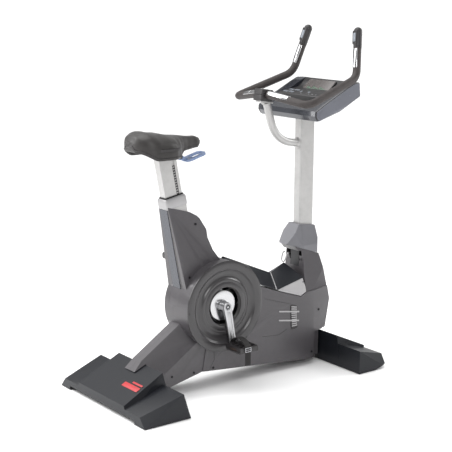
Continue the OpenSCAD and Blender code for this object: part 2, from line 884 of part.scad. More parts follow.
module transport_wheel(s) {
    difference() {
        across(wheel_at, s * 250 - 12, s * 250 + 12, 25);
        across(wheel_at, s * 250 - 40, s * 250 + 40, 5.08);
    }
}

module right_wheel() {
    color(BLACK) machine() transport_wheel(-1);
}

module left_wheel() {
    color(BLACK) machine() transport_wheel(1);
}

// ---- seat ----

post_top = 228;
post_len = 455;
module seat_post() {
    color(SILVER) machine() seat_axis() translate([0, 0, post_top - post_len]) linear_extrude(post_len)
        difference() {
            square([post_d, post_w], center = true);
            square([post_d - 7, post_w - 7], center = true);
            translate([22, -post_w / 2]) square([12.6, 5.2], center = true);
        }
}

// Notched height scale let into the right face of the post
rack_pitch = 11;
module height_rack() {
    color(BLACK) machine() seat_axis() difference() {
        translate([16, -post_w / 2, -180]) cube([12, 2.4, 345]);
        for (i = [0:30]) translate([18, -post_w / 2 - 1, -174 + i * rack_pitch]) cube([8, 2.2, 5]);
    }
}

lever_at = [-165, 1000];
lever_pin_r = 3;
base_z = 1042.5;
ear_in = 12;

// Head of the post: carries the saddle base and, on two ears, the lever's pin
module saddle_bracket() {
    color(BLACK) machine() {
        difference() {
            union() {
                side(-30, 30) polygon([[-290, 1010], [-180, 1023], [-180, base_z], [-290, base_z]]);
                side(-16, 16) polygon([[-180.5, 1023], [-150, 1027], [-150, base_z], [-180.5, base_z]]);
            }
            seat_axis() translate([-46, -50, 0]) cube([90.4, 100, post_top]);
        }
        for (y = [-ear_in - 4, ear_in]) side(y, y + 4)
            polygon([[-180, 1030], [-152, 1030], [-152, 993], [-172, 993]]);
        across(lever_at, -ear_in, ear_in, lever_pin_r);
    }
}

// Plan of the saddle, front at +X
module saddle_plan(grow) {
    hull() {
        translate([-104, 0]) circle(r = 66 + grow, $fn = 32);
        for (x = [-64, -9], s = [-1, 1]) translate([x, s * 73]) circle(r = 50 + grow, $fn = 32);
    }
    hull() {
        for (s = [-1, 1]) translate([-4, s * 60]) circle(r = 44 + grow, $fn = 32);
        translate([84, 0]) circle(r = 36 + grow, $fn = 32);
    }
    hull() {
        translate([60, 0]) circle(r = 40 + grow, $fn = 32);
        translate([150, 0]) circle(r = 29 + grow, $fn = 32);
    }
}

saddle_x = -236;
saddle_rim = 14;
module saddle_base() {
    color(BLACK) machine() translate([saddle_x, 0, base_z + 0.2]) linear_extrude(9)
        saddle_plan(-saddle_rim - gap);
}

module saddle_pad() {
    color([0.2, 0.19, 0.19]) machine() difference() {
        intersection() {
            translate([saddle_x, 0, 980]) linear_extrude(160) saddle_plan(0);
            side(-130, 130) polygon([[-407, 1088], [-388, 1116], [-345, 1124], [-290, 1112], [-200, 1097],
                                     [-80, 1088], [-56, 1062], [-76, 1032], [-150, 1026], [-190, 1003],
                                     [-320, 1003], [-398, 1034]]);
        }
        translate([saddle_x, 0, 970]) linear_extrude(base_z + 9.6 - 970) saddle_plan(-saddle_rim);
    }
}

// Pull-up paddle under the nose, with a finger hole
module seat_lever() {
    color([0.35, 0.45, 0.8]) machine() difference() {
        union() {
            side(-ear_in + 0.5, ear_in - 0.5)
                polygon([[-174, 1009], [-156, 1009], [-118, 988], [-122, 977], [-174, 991]]);
            translate([-130.8, 0, 977.5]) rotate([0, -16, 0]) linear_extrude(9) difference() {
                translate([50, 0]) round_rect(100, 62, 20);
                translate([58, 0]) round_rect(52, 34, 12);
            }
        }
        across(lever_at, -50, 50, lever_pin_r + 0.06);
    }
}

rear_cross_tube();
front_cross_tube();
base_rail();
seat_tube();
crank_housing();
flywheel_housing();
mast_socket();
rear_foot_cover();
front_foot_cover();
levelling_feet();
right_shell();
left_shell();
right_dish_cover();
left_dish_cover();
top_cover();
side_panels();
shell_screws();
mast();
mast_cover_rear();
mast_cover_front();
handlebar_stem();
handlebar_clamp();
handlebar_tube();
grip_sleeve();
pulse_sensors();
right_pod();
left_pod();
right_rocker();
left_rocker();
console_shell();
console_panel();
display_lens();
console_bracket();
start_key();
stop_key();
bearings();
drive_belt();
brake_arm();
wheel_axles();
right_wheel();
left_wheel();
crank_axle();
drive_pulley();
right_crank();
left_crank();
crank_discs();
crank_bolts();
pedal_spindles();
right_pedal();
left_pedal();
right_strap();
left_strap();
flywheel();
flywheel_shaft();
seat_post();
height_rack();
saddle_bracket();
saddle_base();
saddle_pad();
seat_lever();
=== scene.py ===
import json
import math

import bmesh
import bpy
from mathutils import Matrix, Vector

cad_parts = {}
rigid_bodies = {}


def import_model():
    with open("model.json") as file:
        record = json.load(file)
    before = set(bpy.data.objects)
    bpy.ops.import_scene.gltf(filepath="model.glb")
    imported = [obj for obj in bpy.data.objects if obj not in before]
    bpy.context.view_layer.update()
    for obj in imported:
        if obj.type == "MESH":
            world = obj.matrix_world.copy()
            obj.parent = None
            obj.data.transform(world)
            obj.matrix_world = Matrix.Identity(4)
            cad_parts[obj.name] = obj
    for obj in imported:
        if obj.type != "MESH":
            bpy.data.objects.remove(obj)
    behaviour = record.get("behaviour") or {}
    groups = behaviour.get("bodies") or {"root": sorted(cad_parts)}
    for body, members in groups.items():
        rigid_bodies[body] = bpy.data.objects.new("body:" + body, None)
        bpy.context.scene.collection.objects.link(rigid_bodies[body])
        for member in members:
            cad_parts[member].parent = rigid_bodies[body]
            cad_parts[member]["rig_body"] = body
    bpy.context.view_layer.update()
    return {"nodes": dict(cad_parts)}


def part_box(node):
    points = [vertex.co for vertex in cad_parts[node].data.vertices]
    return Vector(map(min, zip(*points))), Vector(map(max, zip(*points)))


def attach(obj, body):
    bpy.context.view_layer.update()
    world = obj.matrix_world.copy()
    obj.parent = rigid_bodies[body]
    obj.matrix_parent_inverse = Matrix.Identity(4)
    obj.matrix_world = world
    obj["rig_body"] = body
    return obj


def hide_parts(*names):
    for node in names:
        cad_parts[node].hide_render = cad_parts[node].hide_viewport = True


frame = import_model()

# ---------------------------------------------------------------- places
# Shapes are drawn in millimetres: x from the crank axle's line, y from the middle plane, z from the floor.
MM = 0.001
axle_low, axle_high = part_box("crank_axle")
AXLE_X = (axle_low.x + axle_high.x) / 2
CRANK_Z = (axle_low.z + axle_high.z) / 2 / MM
MACHINE = Matrix.Translation((AXLE_X, 0, 0)) @ Matrix.Scale(MM, 4)
RIGHT, LEFT = -1, 1

SEAT_LEAN = 11.3
SEAT_REF = Vector((-190, 0, 803))
MAST_X = 522
CRANK_TURN, CRANK_LEN, CRANK_IN, CRANK_FACE = 11.7, 170, 119.6, 133.2
BOLT_SEAT = CRANK_FACE - 8.8
PEDAL_IN, PEDAL_W = 138, 100
LEVER_AT = Vector((-165, 0, 1000))
BAR_MID, BAR_LOW = Vector((280, 0, 1238)), Vector((325, -249, 1202))
BAR_HIGH, BAR_TIP = Vector((627, -211, 1302)), Vector((676, -160, 1516))
BAR_LEAD = BAR_MID + Vector((3, -30, -3))
LOW_CORNER, HIGH_CORNER, GRIP_R, POD_R, POD_LEN = 50, 40, 17.0, 18.5, 92

SEAT_FRAME = Matrix.Translation(SEAT_REF) @ Matrix.Rotation(math.radians(-SEAT_LEAN), 4, "Y")


def along(a, b):
    """Places a shape so that its Z runs from a to b and its X stays roughly forward."""
    v = b - a
    turn, tilt = math.atan2(v.y, v.x), math.acos(v.z / v.length)
    spin = Matrix.Rotation(turn, 4, "Z")
    return Matrix.Translation(a) @ spin @ Matrix.Rotation(tilt, 4, "Y") @ spin.inverted()


def sideways(x, z, hand=RIGHT):
    """Places a shape so that its Z points out along -Y (right) or +Y (left), from the middle plane."""
    return Matrix.Translation((x, 0, z)) @ Matrix.Rotation(math.radians(-90 * hand), 4, "X")


# ---------------------------------------------------------------- mesh building
def circle(radius, count=48, centre=(0, 0), start=0.0):
    return [(centre[0] + radius * math.cos(start + 2 * math.pi * k / count),
             centre[1] + radius * math.sin(start + 2 * math.pi * k / count)) for k in range(count)]


def rounded(points, radius, steps=5):
    """A closed outline with its corners rounded; radius is one number or one for each corner."""
    out, n = [], len(points)
    radii = radius if isinstance(radius, (list, tuple)) else [radius] * n
    for i, r in enumerate(radii):
        p, a, b = Vector(points[i]), Vector(points[i - 1]), Vector(points[(i + 1) % n])
        if r <= 0:
            out.append((p.x, p.y))
            continue
        u, v = (a - p).normalized(), (b - p).normalized()
        half = u.angle(v) / 2
        cut = min(r / math.tan(half), (a - p).length * 0.49, (b - p).length * 0.49)
        for k in range(steps + 1):
            t = k / steps
            q = p + u * cut * (1 - t) ** 2 + v * cut * t ** 2
            out.append((q.x, q.y))
    return out


def rectangle(w, h, r=0.0, steps=5):
    points = [(-w / 2, -h / 2), (w / 2, -h / 2), (w / 2, h / 2), (-w / 2, h / 2)]
    return rounded(points, r, steps) if r else points


def taper_outline(r0, r1, length, count=48, start=0.0):
    """Two circles on the X axis and the lines that touch both, as a fixed number of points."""
    lean = math.acos(max(-1, min(1, (r0 - r1) / max(length, 1e-6))))
    half = count // 2
    near = [lean + (2 * math.pi - 2 * lean) * k / (half - 1) for k in range(half)]
    far = [-lean + 2 * lean * k / (half - 1) for k in range(half)]
    return ([(start + length + r1 * math.cos(a), r1 * math.sin(a)) for a in far]
            + [(start + r0 * math.cos(a), r0 * math.sin(a)) for a in near])


def ring_at(outline, z):
    return [Vector((x, y, z)) for x, y in outline]


def loft(rings, caps=(True, True), closed=True):
    """(vertices, faces) of a skin over rings that have the same number of points."""
    n = len(rings[0])
    verts = [Vector(p) for ring in rings for p in ring]
    faces = []
    for i in range(len(rings) - 1):
        for k in range(n if closed else n - 1):
            a, b = i * n + k, i * n + (k + 1) % n
            faces.append((a, b, b + n, a + n))
    if caps[0]:
        faces.append(tuple(reversed(range(n))))
    if caps[1]:
        faces.append(tuple(range(len(verts) - n, len(verts))))
    return verts, faces


def stack(outline_at, levels, caps=(True, True)):
    """A loft up Z: levels are (z, inset) and outline_at(inset) gives the outline."""
    return loft([ring_at(outline_at(inset), z) for z, inset in levels], caps)


def revolve(profile, count=64, closed=False):
    """(vertices, faces) turned about Z; profile is (radius, z), and closed joins its ends."""
    rings = [ring_at(circle(max(r, 0.01), count), z) for r, z in profile]
    if closed:
        rings.append(rings[0])
    return loft(rings, (not closed, not closed))


def slab(outline, low, high, edge=0.0):
    """An outline in X and Y drawn up Z, with a small chamfered top and bottom edge."""
    if edge <= 0:
        return loft([ring_at(outline, low), ring_at(outline, high)])
    c = sum((Vector(p) for p in outline), Vector((0, 0))) / len(outline)

    def shrunk(d):
        return [tuple(Vector(p) + (c - Vector(p)).normalized() * d) for p in outline]
    return loft([ring_at(shrunk(edge), low), ring_at(outline, low + edge), ring_at(outline, high - edge),
                 ring_at(shrunk(edge), high)])


def box(size, centre=(0, 0, 0), r=1.0, edge=0.8, steps=3):
    """A box with round corners in plan and softened top and bottom edges."""
    w, d, h = size
    verts, faces = stack(lambda i: rectangle(w - 2 * i, d - 2 * i, max(r - i, 0.05), steps),
                         [(-h / 2, edge), (-h / 2 + edge * 0.3, edge * 0.3), (-h / 2 + edge, 0),
                          (h / 2 - edge, 0), (h / 2 - edge * 0.3, edge * 0.3), (h / 2, edge)])
    return [v + Vector(centre) for v in verts], faces


def smooth_path(points, steps=8):
    """A Catmull-Rom line through the points."""
    p = [Vector(q) for q in points]
    p = [2 * p[0] - p[1], *p, 2 * p[-1] - p[-2]]
    out = []
    for i in range(1, len(p) - 2):
        for k in range(steps):
            t = k / steps
            a, b, c, d = p[i - 1:i + 3]
            out.append(0.5 * (2 * b + (c - a) * t + (2 * a - 5 * b + 4 * c - d) * t ** 2
                              + (3 * b - a - 3 * c + d) * t ** 3))
    return out + [p[-2]]


def frames(path, up=Vector((0, 0, 1))):
    """Along a path, the two directions across it, turned as little as possible."""
    out, side = [], None
    for i in range(len(path)):
        t = (path[min(i + 1, len(path) - 1)] - path[max(i - 1, 0)]).normalized()
        if side is None:
            side = t.cross(up)
            if side.length < 0.05:
                side = t.cross(Vector((1, 0, 0)))
        side = (side - side.dot(t) * t).normalized()
        out.append((side, t.cross(side)))
    return out


def tube(path, radius, count=20, up=Vector((0, 0, 1)), caps=(True, True), outline=None):
    """A round bar, or any outline, along a path; radius is one number or one for each point."""
    path = [Vector(p) for p in path]
    radii = radius if isinstance(radius, (list, tuple)) else [radius] * len(path)
    shape = outline or circle(1.0, count)
    return loft([[p + r * (x * s + y * u) for x, y in shape]
                 for p, r, (s, u) in zip(path, radii, frames(path, up))], caps)


def bend(a, b, c, d, steps=10):
    p, q = b + (a - b).normalized() * d, b + (c - b).normalized() * d
    return [(1 - t) ** 2 * p + 2 * t * (1 - t) * b + t * t * q for t in (k / steps for k in range(steps + 1))]


def placed(part, matrix):
    return [matrix @ Vector(v) for v in part[0]], part[1]


def joined(*parts):
    verts, faces = [], []
    for v, f in parts:
        base = len(verts)
        verts += v
        faces += [tuple(i + base for i in face) for face in f]
    return verts, faces


def across(part, x, z, hand=RIGHT):
    """A part drawn about Z stood across the machine, its Z pointing out on the given hand."""
    return placed(part, sideways(x, z, hand))


# ---------------------------------------------------------------- pieces
def finish_mesh(mesh, angle=32):
    bm = bmesh.new()
    bm.from_mesh(mesh)
    bmesh.ops.remove_doubles(bm, verts=bm.verts, dist=1e-6)
    bmesh.ops.recalc_face_normals(bm, faces=bm.faces)
    bm.to_mesh(mesh)
    bm.free()
    mesh.polygons.foreach_set("use_smooth", [True] * len(mesh.polygons))
    mesh.set_sharp_from_angle(angle=math.radians(angle))
    mesh.update()


def soften(obj, width, segments=2, angle=30):
    bevel = obj.modifiers.new("soft_edges", "BEVEL")
    bevel.width = width * MM
    bevel.segments = segments
    bevel.limit_method = "ANGLE"
    bevel.angle_limit = math.radians(angle)
    bevel.use_clamp_overlap = True
    bevel.harden_normals = True


def piece(name, part, body, material, replaces=(), place=None, edge=0.0, segments=2, angle=32):
    """One finished object from (vertices, faces) in machine millimetres."""
    matrix = MACHINE @ place if place is not None else MACHINE
    mesh = bpy.data.meshes.new(name)
    mesh.from_pydata([tuple(matrix @ Vector(v)) for v in part[0]], [], part[1])
    finish_mesh(mesh, angle)
    mesh.materials.append(material)
    obj = bpy.data.objects.new(name, mesh)
    bpy.context.scene.collection.objects.link(obj)
    if edge:
        soften(obj, edge, segments, angle)
    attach(obj, body)
    if replaces:
        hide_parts(*replaces)
    return obj


def refined(node, material, edge=1.5, segments=2, angle=28, name=None, flat=1.0):
    """The CAD node's own shape with its flat faces made whole and its edges rounded."""
    source = frame["nodes"][node]
    mesh = source.data.copy()
    bm = bmesh.new()
    bm.from_mesh(mesh)
    bmesh.ops.remove_doubles(bm, verts=bm.verts, dist=2e-6)
    bmesh.ops.dissolve_limit(bm, angle_limit=math.radians(flat), verts=bm.verts, edges=bm.edges)
    bmesh.ops.recalc_face_normals(bm, faces=bm.faces)
    bm.to_mesh(mesh)
    bm.free()
    mesh.polygons.foreach_set("use_smooth", [True] * len(mesh.polygons))
    mesh.set_sharp_from_angle(angle=math.radians(angle))
    mesh.materials.clear()
    mesh.materials.append(material)
    obj = bpy.data.objects.new(name or node + "_body", mesh)
    bpy.context.scene.collection.objects.link(obj)
    if edge:
        soften(obj, edge, segments, angle)
    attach(obj, source["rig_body"])
    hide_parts(node)
    return obj


# ---------------------------------------------------------------- materials
class Nodes:
    """A short way to write one material's node tree."""

    def __init__(self, name):
        self.material = bpy.data.materials.new(name)
        self.material.use_nodes = True
        self.tree = self.material.node_tree
        self.shader = self.tree.nodes["Principled BSDF"]
        self.place = self.add("ShaderNodeTexCoord").outputs["Object"]

    def add(self, kind, **values):
        node = self.tree.nodes.new(kind)
        for key, value in values.items():
            if hasattr(node, key) and not isinstance(getattr(node, key), bpy.types.bpy_prop_collection):
                setattr(node, key, value)
        return node

    def link(self, a, b):
        self.tree.links.new(a, b)

    def stretched(self, scale):
        node = self.add("ShaderNodeMapping")
        node.inputs["Scale"].default_value = scale
        self.link(self.place, node.inputs["Vector"])
        return node.outputs["Vector"]

    def noise(self, scale, detail=3.0, rough=0.55, vector=None):
        node = self.add("ShaderNodeTexNoise")
        node.inputs["Scale"].default_value = scale
        node.inputs["Detail"].default_value = detail
        node.inputs["Roughness"].default_value = rough
        self.link(vector or self.place, node.inputs["Vector"])
        return node.outputs["Fac"]

    def cells(self, scale, vector=None, feature="F1"):
        node = self.add("ShaderNodeTexVoronoi", feature=feature)
        node.inputs["Scale"].default_value = scale
        self.link(vector or self.place, node.inputs["Vector"])
        return node.outputs["Distance"]

    def spread(self, value, low, high, start=0.3, end=0.7):
        node = self.add("ShaderNodeMapRange")
        for socket, number in zip(("From Min", "From Max", "To Min", "To Max"), (start, end, low, high)):
            node.inputs[socket].default_value = number
        self.link(value, node.inputs["Value"])
        return node.outputs["Result"]

    def mixed(self, factor, a, b):
        node = self.add("ShaderNodeMix", data_type="RGBA")
        for socket, colour in ((6, a), (7, b)):
            if isinstance(colour, (tuple, list)):
                node.inputs[socket].default_value = (*colour, 1)
            else:
                self.link(colour, node.inputs[socket])
        self.link(factor, node.inputs[0])
        return node.outputs[2]

    def bump(self, height, strength, distance, below=None):
        node = self.add("ShaderNodeBump")
        node.inputs["Strength"].default_value = strength
        node.inputs["Distance"].default_value = distance
        self.link(height, node.inputs["Height"])
        if below is not None:
            self.link(below, node.inputs["Normal"])
        return node.outputs["Normal"]

    def set(self, **values):
        for key, value in values.items():
            self.shader.inputs[key.replace("_", " ")].default_value = value

    def edges(self, low=0.52, high=0.6):
        """1 on convex edges, 0 elsewhere."""
        geometry = self.add("ShaderNodeNewGeometry")
        return self.spread(geometry.outputs["Pointiness"], 0.0, 1.0, low, high)


def shade(colour, factor):
    return tuple(min(1.0, c * factor) for c in colour)


def moulded(name, colour, rough=0.4, grain=900.0, depth=0.12, patch=9.0, contrast=0.14, wear=0.25,
            metal=0.0, coat=0.0, coat_rough=0.2, specular=0.5):
    """Injection-moulded plastic or sprayed paint: fine grain, faint cloudiness and slightly rubbed edges."""
    n = Nodes(name)
    cloud = n.noise(patch, 5.0)
    body = n.mixed(n.spread(cloud, 0.0, 1.0), shade(colour, 1 - contrast), shade(colour, 1 + contrast))
    worn = n.edges()
    smudge = n.noise(patch * 4.5, 6.0, 0.65)
    mask = n.add("ShaderNodeMath", operation="MULTIPLY")
    n.link(worn, mask.inputs[0])
    n.link(n.spread(smudge, 0.0, wear), mask.inputs[1])
    n.link(n.mixed(mask.outputs[0], body, shade(colour, 2.2)), n.shader.inputs["Base Color"])
    n.link(n.spread(smudge, rough * 0.95, rough * 1.06), n.shader.inputs["Roughness"])
    fine = n.bump(n.cells(grain), depth, 0.0003)
    n.link(n.bump(n.noise(grain * 0.35, 2.0), depth * 0.5, 0.0004, fine), n.shader.inputs["Normal"])
    n.set(Metallic=metal, Coat_Weight=coat, Coat_Roughness=coat_rough, Specular_IOR_Level=specular)
    return n.material


def rubbery(name, colour, rough=0.75):
    """Soft rubber or foam: matte, dusty, with a pore texture."""
    n = Nodes(name)
    dust = n.noise(35.0, 6.0, 0.7)
    n.link(n.mixed(n.spread(dust, 0.0, 1.0), shade(colour, 0.8), shade(colour, 1.35)),
           n.shader.inputs["Base Color"])
    n.link(n.spread(dust, rough * 0.9, min(1.0, rough * 1.1)), n.shader.inputs["Roughness"])
    pores = n.bump(n.cells(1400.0), 0.3, 0.0004)
    n.link(n.bump(n.noise(260.0, 4.0), 0.2, 0.0006, pores), n.shader.inputs["Normal"])
    n.set(Specular_IOR_Level=0.35)
    return n.material


def metallic(name, colour, rough=0.25, brush=(1, 1, 1), lines=0.1, tint=0.08):
    """Bare or plated metal: brushed along one direction, with handling marks in the roughness."""
    n = Nodes(name)
    streak = n.noise(220.0, 4.0, 0.7, n.stretched(brush))
    touch = n.noise(14.0, 5.0, 0.6)
    n.link(n.mixed(n.spread(touch, 0.0, 1.0), shade(colour, 1 - tint), colour), n.shader.inputs["Base Color"])
    blur = n.add("ShaderNodeMath", operation="ADD")
    n.link(n.spread(streak, -rough * 0.15, rough * 0.2), blur.inputs[0])
    n.link(n.spread(touch, rough * 0.85, rough * 1.2), blur.inputs[1])
    n.link(blur.outputs[0], n.shader.inputs["Roughness"])
    n.link(n.bump(streak, lines, 0.0002), n.shader.inputs["Normal"])
    n.set(Metallic=1.0)
    return n.material


def saddle_skin():
    """Polyurethane skin: pebble grain with a soft sheen and painted shade darkening its creases."""
    n = Nodes("saddle_skin")
    pebble = n.cells(520.0)
    # painted shade: the grain's low points are coloured darker, as if shaded in its creases
    crease = n.spread(pebble, 0.0, 1.0, 0.0, 0.6)
    cloud = n.noise(12.0, 5.0)
    skin = n.mixed(n.spread(cloud, 0.0, 1.0), (0.015, 0.013, 0.012), (0.022, 0.019, 0.018))
    n.link(n.mixed(crease, (0.016, 0.014, 0.014), skin), n.shader.inputs["Base Color"])
    n.link(n.spread(cloud, 0.40, 0.55), n.shader.inputs["Roughness"])
    grain = n.bump(pebble, 0.35, 0.0005)
    n.link(n.bump(n.noise(70.0, 5.0), 0.12, 0.0015, grain), n.shader.inputs["Normal"])
    n.set(Specular_IOR_Level=0.5, Sheen_Weight=0.15, Sheen_Roughness=0.4)
    return n.material


def clear_blue():
    """Translucent moulded plastic with flow marks."""
    n = Nodes("lever_blue")
    flow = n.noise(60.0, 4.0, 0.6, n.stretched((1, 3, 1)))
    n.link(n.mixed(n.spread(flow, 0.0, 1.0), (0.14, 0.20, 0.36), (0.26, 0.36, 0.58)),
           n.shader.inputs["Base Color"])
    n.link(n.spread(flow, 0.10, 0.22), n.shader.inputs["Roughness"])
    n.link(n.bump(flow, 0.1, 0.0004), n.shader.inputs["Normal"])
    n.set(Transmission_Weight=0.35, IOR=1.49, Coat_Weight=0.4, Coat_Roughness=0.1)
    return n.material


def display_glass():
    """A tinted lens over a dark display with faint smears."""
    n = Nodes("display_glass")
    smear = n.noise(25.0, 6.0, 0.65, n.stretched((1, 2.5, 1)))
    n.link(n.mixed(n.spread(smear, 0.0, 1.0), (0.012, 0.006, 0.004), (0.030, 0.014, 0.010)),
           n.shader.inputs["Base Color"])
    n.link(n.spread(smear, 0.06, 0.2), n.shader.inputs["Roughness"])
    n.link(n.bump(smear, 0.03, 0.0003), n.shader.inputs["Normal"])
    n.set(Coat_Weight=0.6, Coat_Roughness=0.04)
    return n.material


def lamp(name, colour, strength):
    """A small status light behind a diffuser."""
    n = Nodes(name)
    speck = n.noise(900.0, 2.0)
    n.link(n.mixed(n.spread(speck, 0.0, 1.0), shade(colour, 0.8), colour), n.shader.inputs["Base Color"])
    n.link(n.spread(speck, 0.25, 0.4), n.shader.inputs["Roughness"])
    n.set(Emission_Color=(*colour, 1), Emission_Strength=strength)
    return n.material


SHELL = moulded("shell_plastic", (0.056, 0.052, 0.057), 0.36, contrast=0.04, coat=0.18, coat_rough=0.28)
DISH = moulded("dish_plastic", (0.028, 0.026, 0.028), 0.30, contrast=0.03, coat=0.3, coat_rough=0.2)
SLATE = moulded("foot_plastic", (0.008, 0.009, 0.012), 0.40, grain=700.0, contrast=0.05, coat=0.15,
                coat_rough=0.25,
                specular=0.25)
SILVER_PLASTIC = moulded("silver_plastic", (0.34, 0.335, 0.34), 0.38, metal=0.35, wear=0.1, contrast=0.05)
SILVER_PAINT = moulded("silver_paint", (0.40, 0.395, 0.39), 0.38, grain=2200.0, depth=0.06, metal=0.55,
                       wear=0.12, contrast=0.05, coat=0.3, coat_rough=0.2)
MAST_PAINT = moulded("mast_paint", (0.40, 0.395, 0.39), 0.36, grain=2200.0, depth=0.05, metal=0.6, wear=0.1,
                     contrast=0.05, coat=0.4, coat_rough=0.18)
COVER = moulded("mast_cover_plastic", (0.15, 0.15, 0.163), 0.38, metal=0.15, contrast=0.04)
COLLAR = moulded("collar_plastic", (0.022, 0.026, 0.040), 0.26, contrast=0.03, wear=0.1, coat=0.3,
                 coat_rough=0.15)
FRAME_BLACK = moulded("frame_black", (0.018, 0.018, 0.020), 0.45, grain=450.0, depth=0.3)
BLACK = moulded("black_plastic", (0.022, 0.020, 0.021), 0.42, grain=800.0, depth=0.2)
PANEL = moulded("panel_plastic", (0.014, 0.013, 0.014), 0.36, grain=1500.0, depth=0.08, contrast=0.05)
GRIP = rubbery("grip_rubber", (0.040, 0.034, 0.033), 0.55)
RUBBER = rubbery("rubber", (0.018, 0.017, 0.017), 0.8)
CHROME = metallic("chrome", (0.56, 0.56, 0.57), 0.16, lines=0.03)
ALLOY = metallic("alloy", (0.50, 0.50, 0.51), 0.32, (1, 1, 14), 0.12)
STEEL = metallic("steel", (0.45, 0.45, 0.47), 0.32, (1, 14, 1), 0.15)
DARK_STEEL = metallic("dark_steel", (0.035, 0.035, 0.038), 0.42, (1, 1, 6), 0.15)
CONSOLE = moulded("console_gloss", (0.026, 0.029, 0.038), 0.24, grain=2400.0, depth=0.04, metal=0.2,
                  contrast=0.04,
                  coat=0.5, coat_rough=0.1, wear=0.1)
END_CAP = moulded("console_end", (0.12, 0.126, 0.15), 0.26, grain=2400.0, depth=0.04, metal=0.5,
                  contrast=0.04,
                  coat=0.6, coat_rough=0.1, wear=0.1)
KEY = moulded("key_grey", (0.22, 0.24, 0.27), 0.5, grain=1800.0, wear=0.1)
RED = moulded("red_accent", (0.42, 0.03, 0.035), 0.4, wear=0.1)
DISPLAY = display_glass()
SKIN = saddle_skin()
BLUE = clear_blue()
GREEN_LIGHT = lamp("green_light", (0.04, 0.13, 0.07), 0.08)
BELT = rubbery("belt_rubber", (0.02, 0.02, 0.02), 0.7)
REFLECTOR = moulded("pedal_reflector", (0.030, 0.020, 0.015), 0.3, grain=600.0, depth=0.4, coat=0.3)


# ---------------------------------------------------------------- camera, floor and light
WORLD_LOW, WORLD_HIGH, SUN_POWER = 0.25, 0.75, 2.6


def camera():
    azimuth, pitch, roll = math.radians(-37.266), math.radians(11.758), math.radians(0.463)
    forward = Vector((math.sin(-azimuth) * math.cos(pitch), math.cos(azimuth) * math.cos(pitch),
                      -math.sin(pitch)))
    right = forward.cross(Vector((0, 0, 1))).normalized()
    up = right.cross(forward)
    right, up = math.cos(roll) * right + math.sin(roll) * up, math.cos(roll) * up - math.sin(roll) * right
    data = bpy.data.cameras.new("camera")
    data.sensor_width = 36
    data.lens = 94.92
    data.clip_end = 400
    obj = bpy.data.objects.new("camera", data)
    bpy.context.scene.collection.objects.link(obj)
    turn = Matrix((right, up, -forward)).transposed().to_4x4()
    obj.matrix_world = Matrix.Translation((AXLE_X - 2.942, -3.981, 1.721)) @ turn
    bpy.context.scene.camera = obj


def area(name, place, target, size, power, colour=(1, 1, 1)):
    data = bpy.data.lights.new(name, "AREA")
    data.shape = "RECTANGLE"
    data.size, data.size_y = size
    data.energy = power
    data.color = colour
    obj = bpy.data.objects.new(name, data)
    bpy.context.scene.collection.objects.link(obj)
    obj.location = place
    obj.rotation_euler = (Vector(target) - Vector(place)).to_track_quat("-Z", "Y").to_euler()


def studio():
    world = bpy.data.worlds.new("studio")
    world.use_nodes = True
    tree = world.node_tree
    ground = tree.nodes["Background"]
    ground.inputs["Color"].default_value = (1.0, 1.0, 1.0, 1)
    # white where the camera looks past the floor
    # dimmer, and shaded from top to bottom, for light and reflections
    path = tree.nodes.new("ShaderNodeLightPath")
    where = tree.nodes.new("ShaderNodeTexCoord")
    split = tree.nodes.new("ShaderNodeSeparateXYZ")
    ramp = tree.nodes.new("ShaderNodeMapRange")
    for socket, number in zip(("From Min", "From Max", "To Min", "To Max"),
                              (0.0, 0.9, WORLD_LOW, WORLD_HIGH)):
        ramp.inputs[socket].default_value = number
    pick = tree.nodes.new("ShaderNodeMix")
    pick.inputs[3].default_value = 1.0
    tree.links.new(where.outputs["Generated"], split.inputs[0])
    tree.links.new(split.outputs["Z"], ramp.inputs["Value"])
    tree.links.new(path.outputs["Is Camera Ray"], pick.inputs[0])
    tree.links.new(ramp.outputs["Result"], pick.inputs[2])
    tree.links.new(pick.outputs[0], ground.inputs["Strength"])
    bpy.context.scene.world = world
    bpy.context.scene.view_settings.view_transform = "Standard"
    sun = bpy.data.lights.new("soft_sun", "SUN")
    sun.energy = SUN_POWER
    sun.angle = math.radians(70)
    lamp_object = bpy.data.objects.new("soft_sun", sun)
    lamp_object.rotation_euler = Vector((0.28, -0.30, -1)).to_track_quat("-Z", "Y").to_euler()
    bpy.context.scene.collection.objects.link(lamp_object)
    area("key_light", (-2.6, 1.6, 2.2), (-0.1, 0.0, 0.5), (1.2, 2.4), 75)
    area("side_light", (-1.6, -3.2, 2.4), (0.0, 0.0, 0.6), (1.0, 1.8), 42)
    area("front_light", (3.4, -1.2, 2.2), (0.3, 0.0, 0.7), (1.0, 2.0), 45)
    n = Nodes("floor_white")
    tone = n.noise(3.0, 3.0)
    n.link(n.mixed(n.spread(tone, 0.0, 1.0), (0.93, 0.93, 0.93), (0.95, 0.95, 0.95)),
           n.shader.inputs["Base Color"])
    n.set(Roughness=0.5, Specular_IOR_Level=0.2)
    mesh = bpy.data.meshes.new("floor")
    side = 150
    mesh.from_pydata([(-side, -side, 0), (side, -side, 0), (side, side, 0), (-side, side, 0)], [],
                     [(0, 1, 2, 3)])
    mesh.materials.append(n.material)
    floor = bpy.data.objects.new("floor", mesh)
    bpy.context.scene.collection.objects.link(floor)


camera()
studio()


# ---------------------------------------------------------------- body shells and feet
def shells():
    for node in ("right_shell", "left_shell"):
        refined(node, SHELL, 1.8)
    refined("top_cover", SLATE, 1.5)
    refined("side_panels", SILVER_PLASTIC, 0.6)
    for node in ("mast_cover_rear", "mast_cover_front"):
        refined(node, COVER, 3.0, 3)
    for node in ("rear_foot_cover", "front_foot_cover"):
        refined(node, SLATE, 2.6, 3)


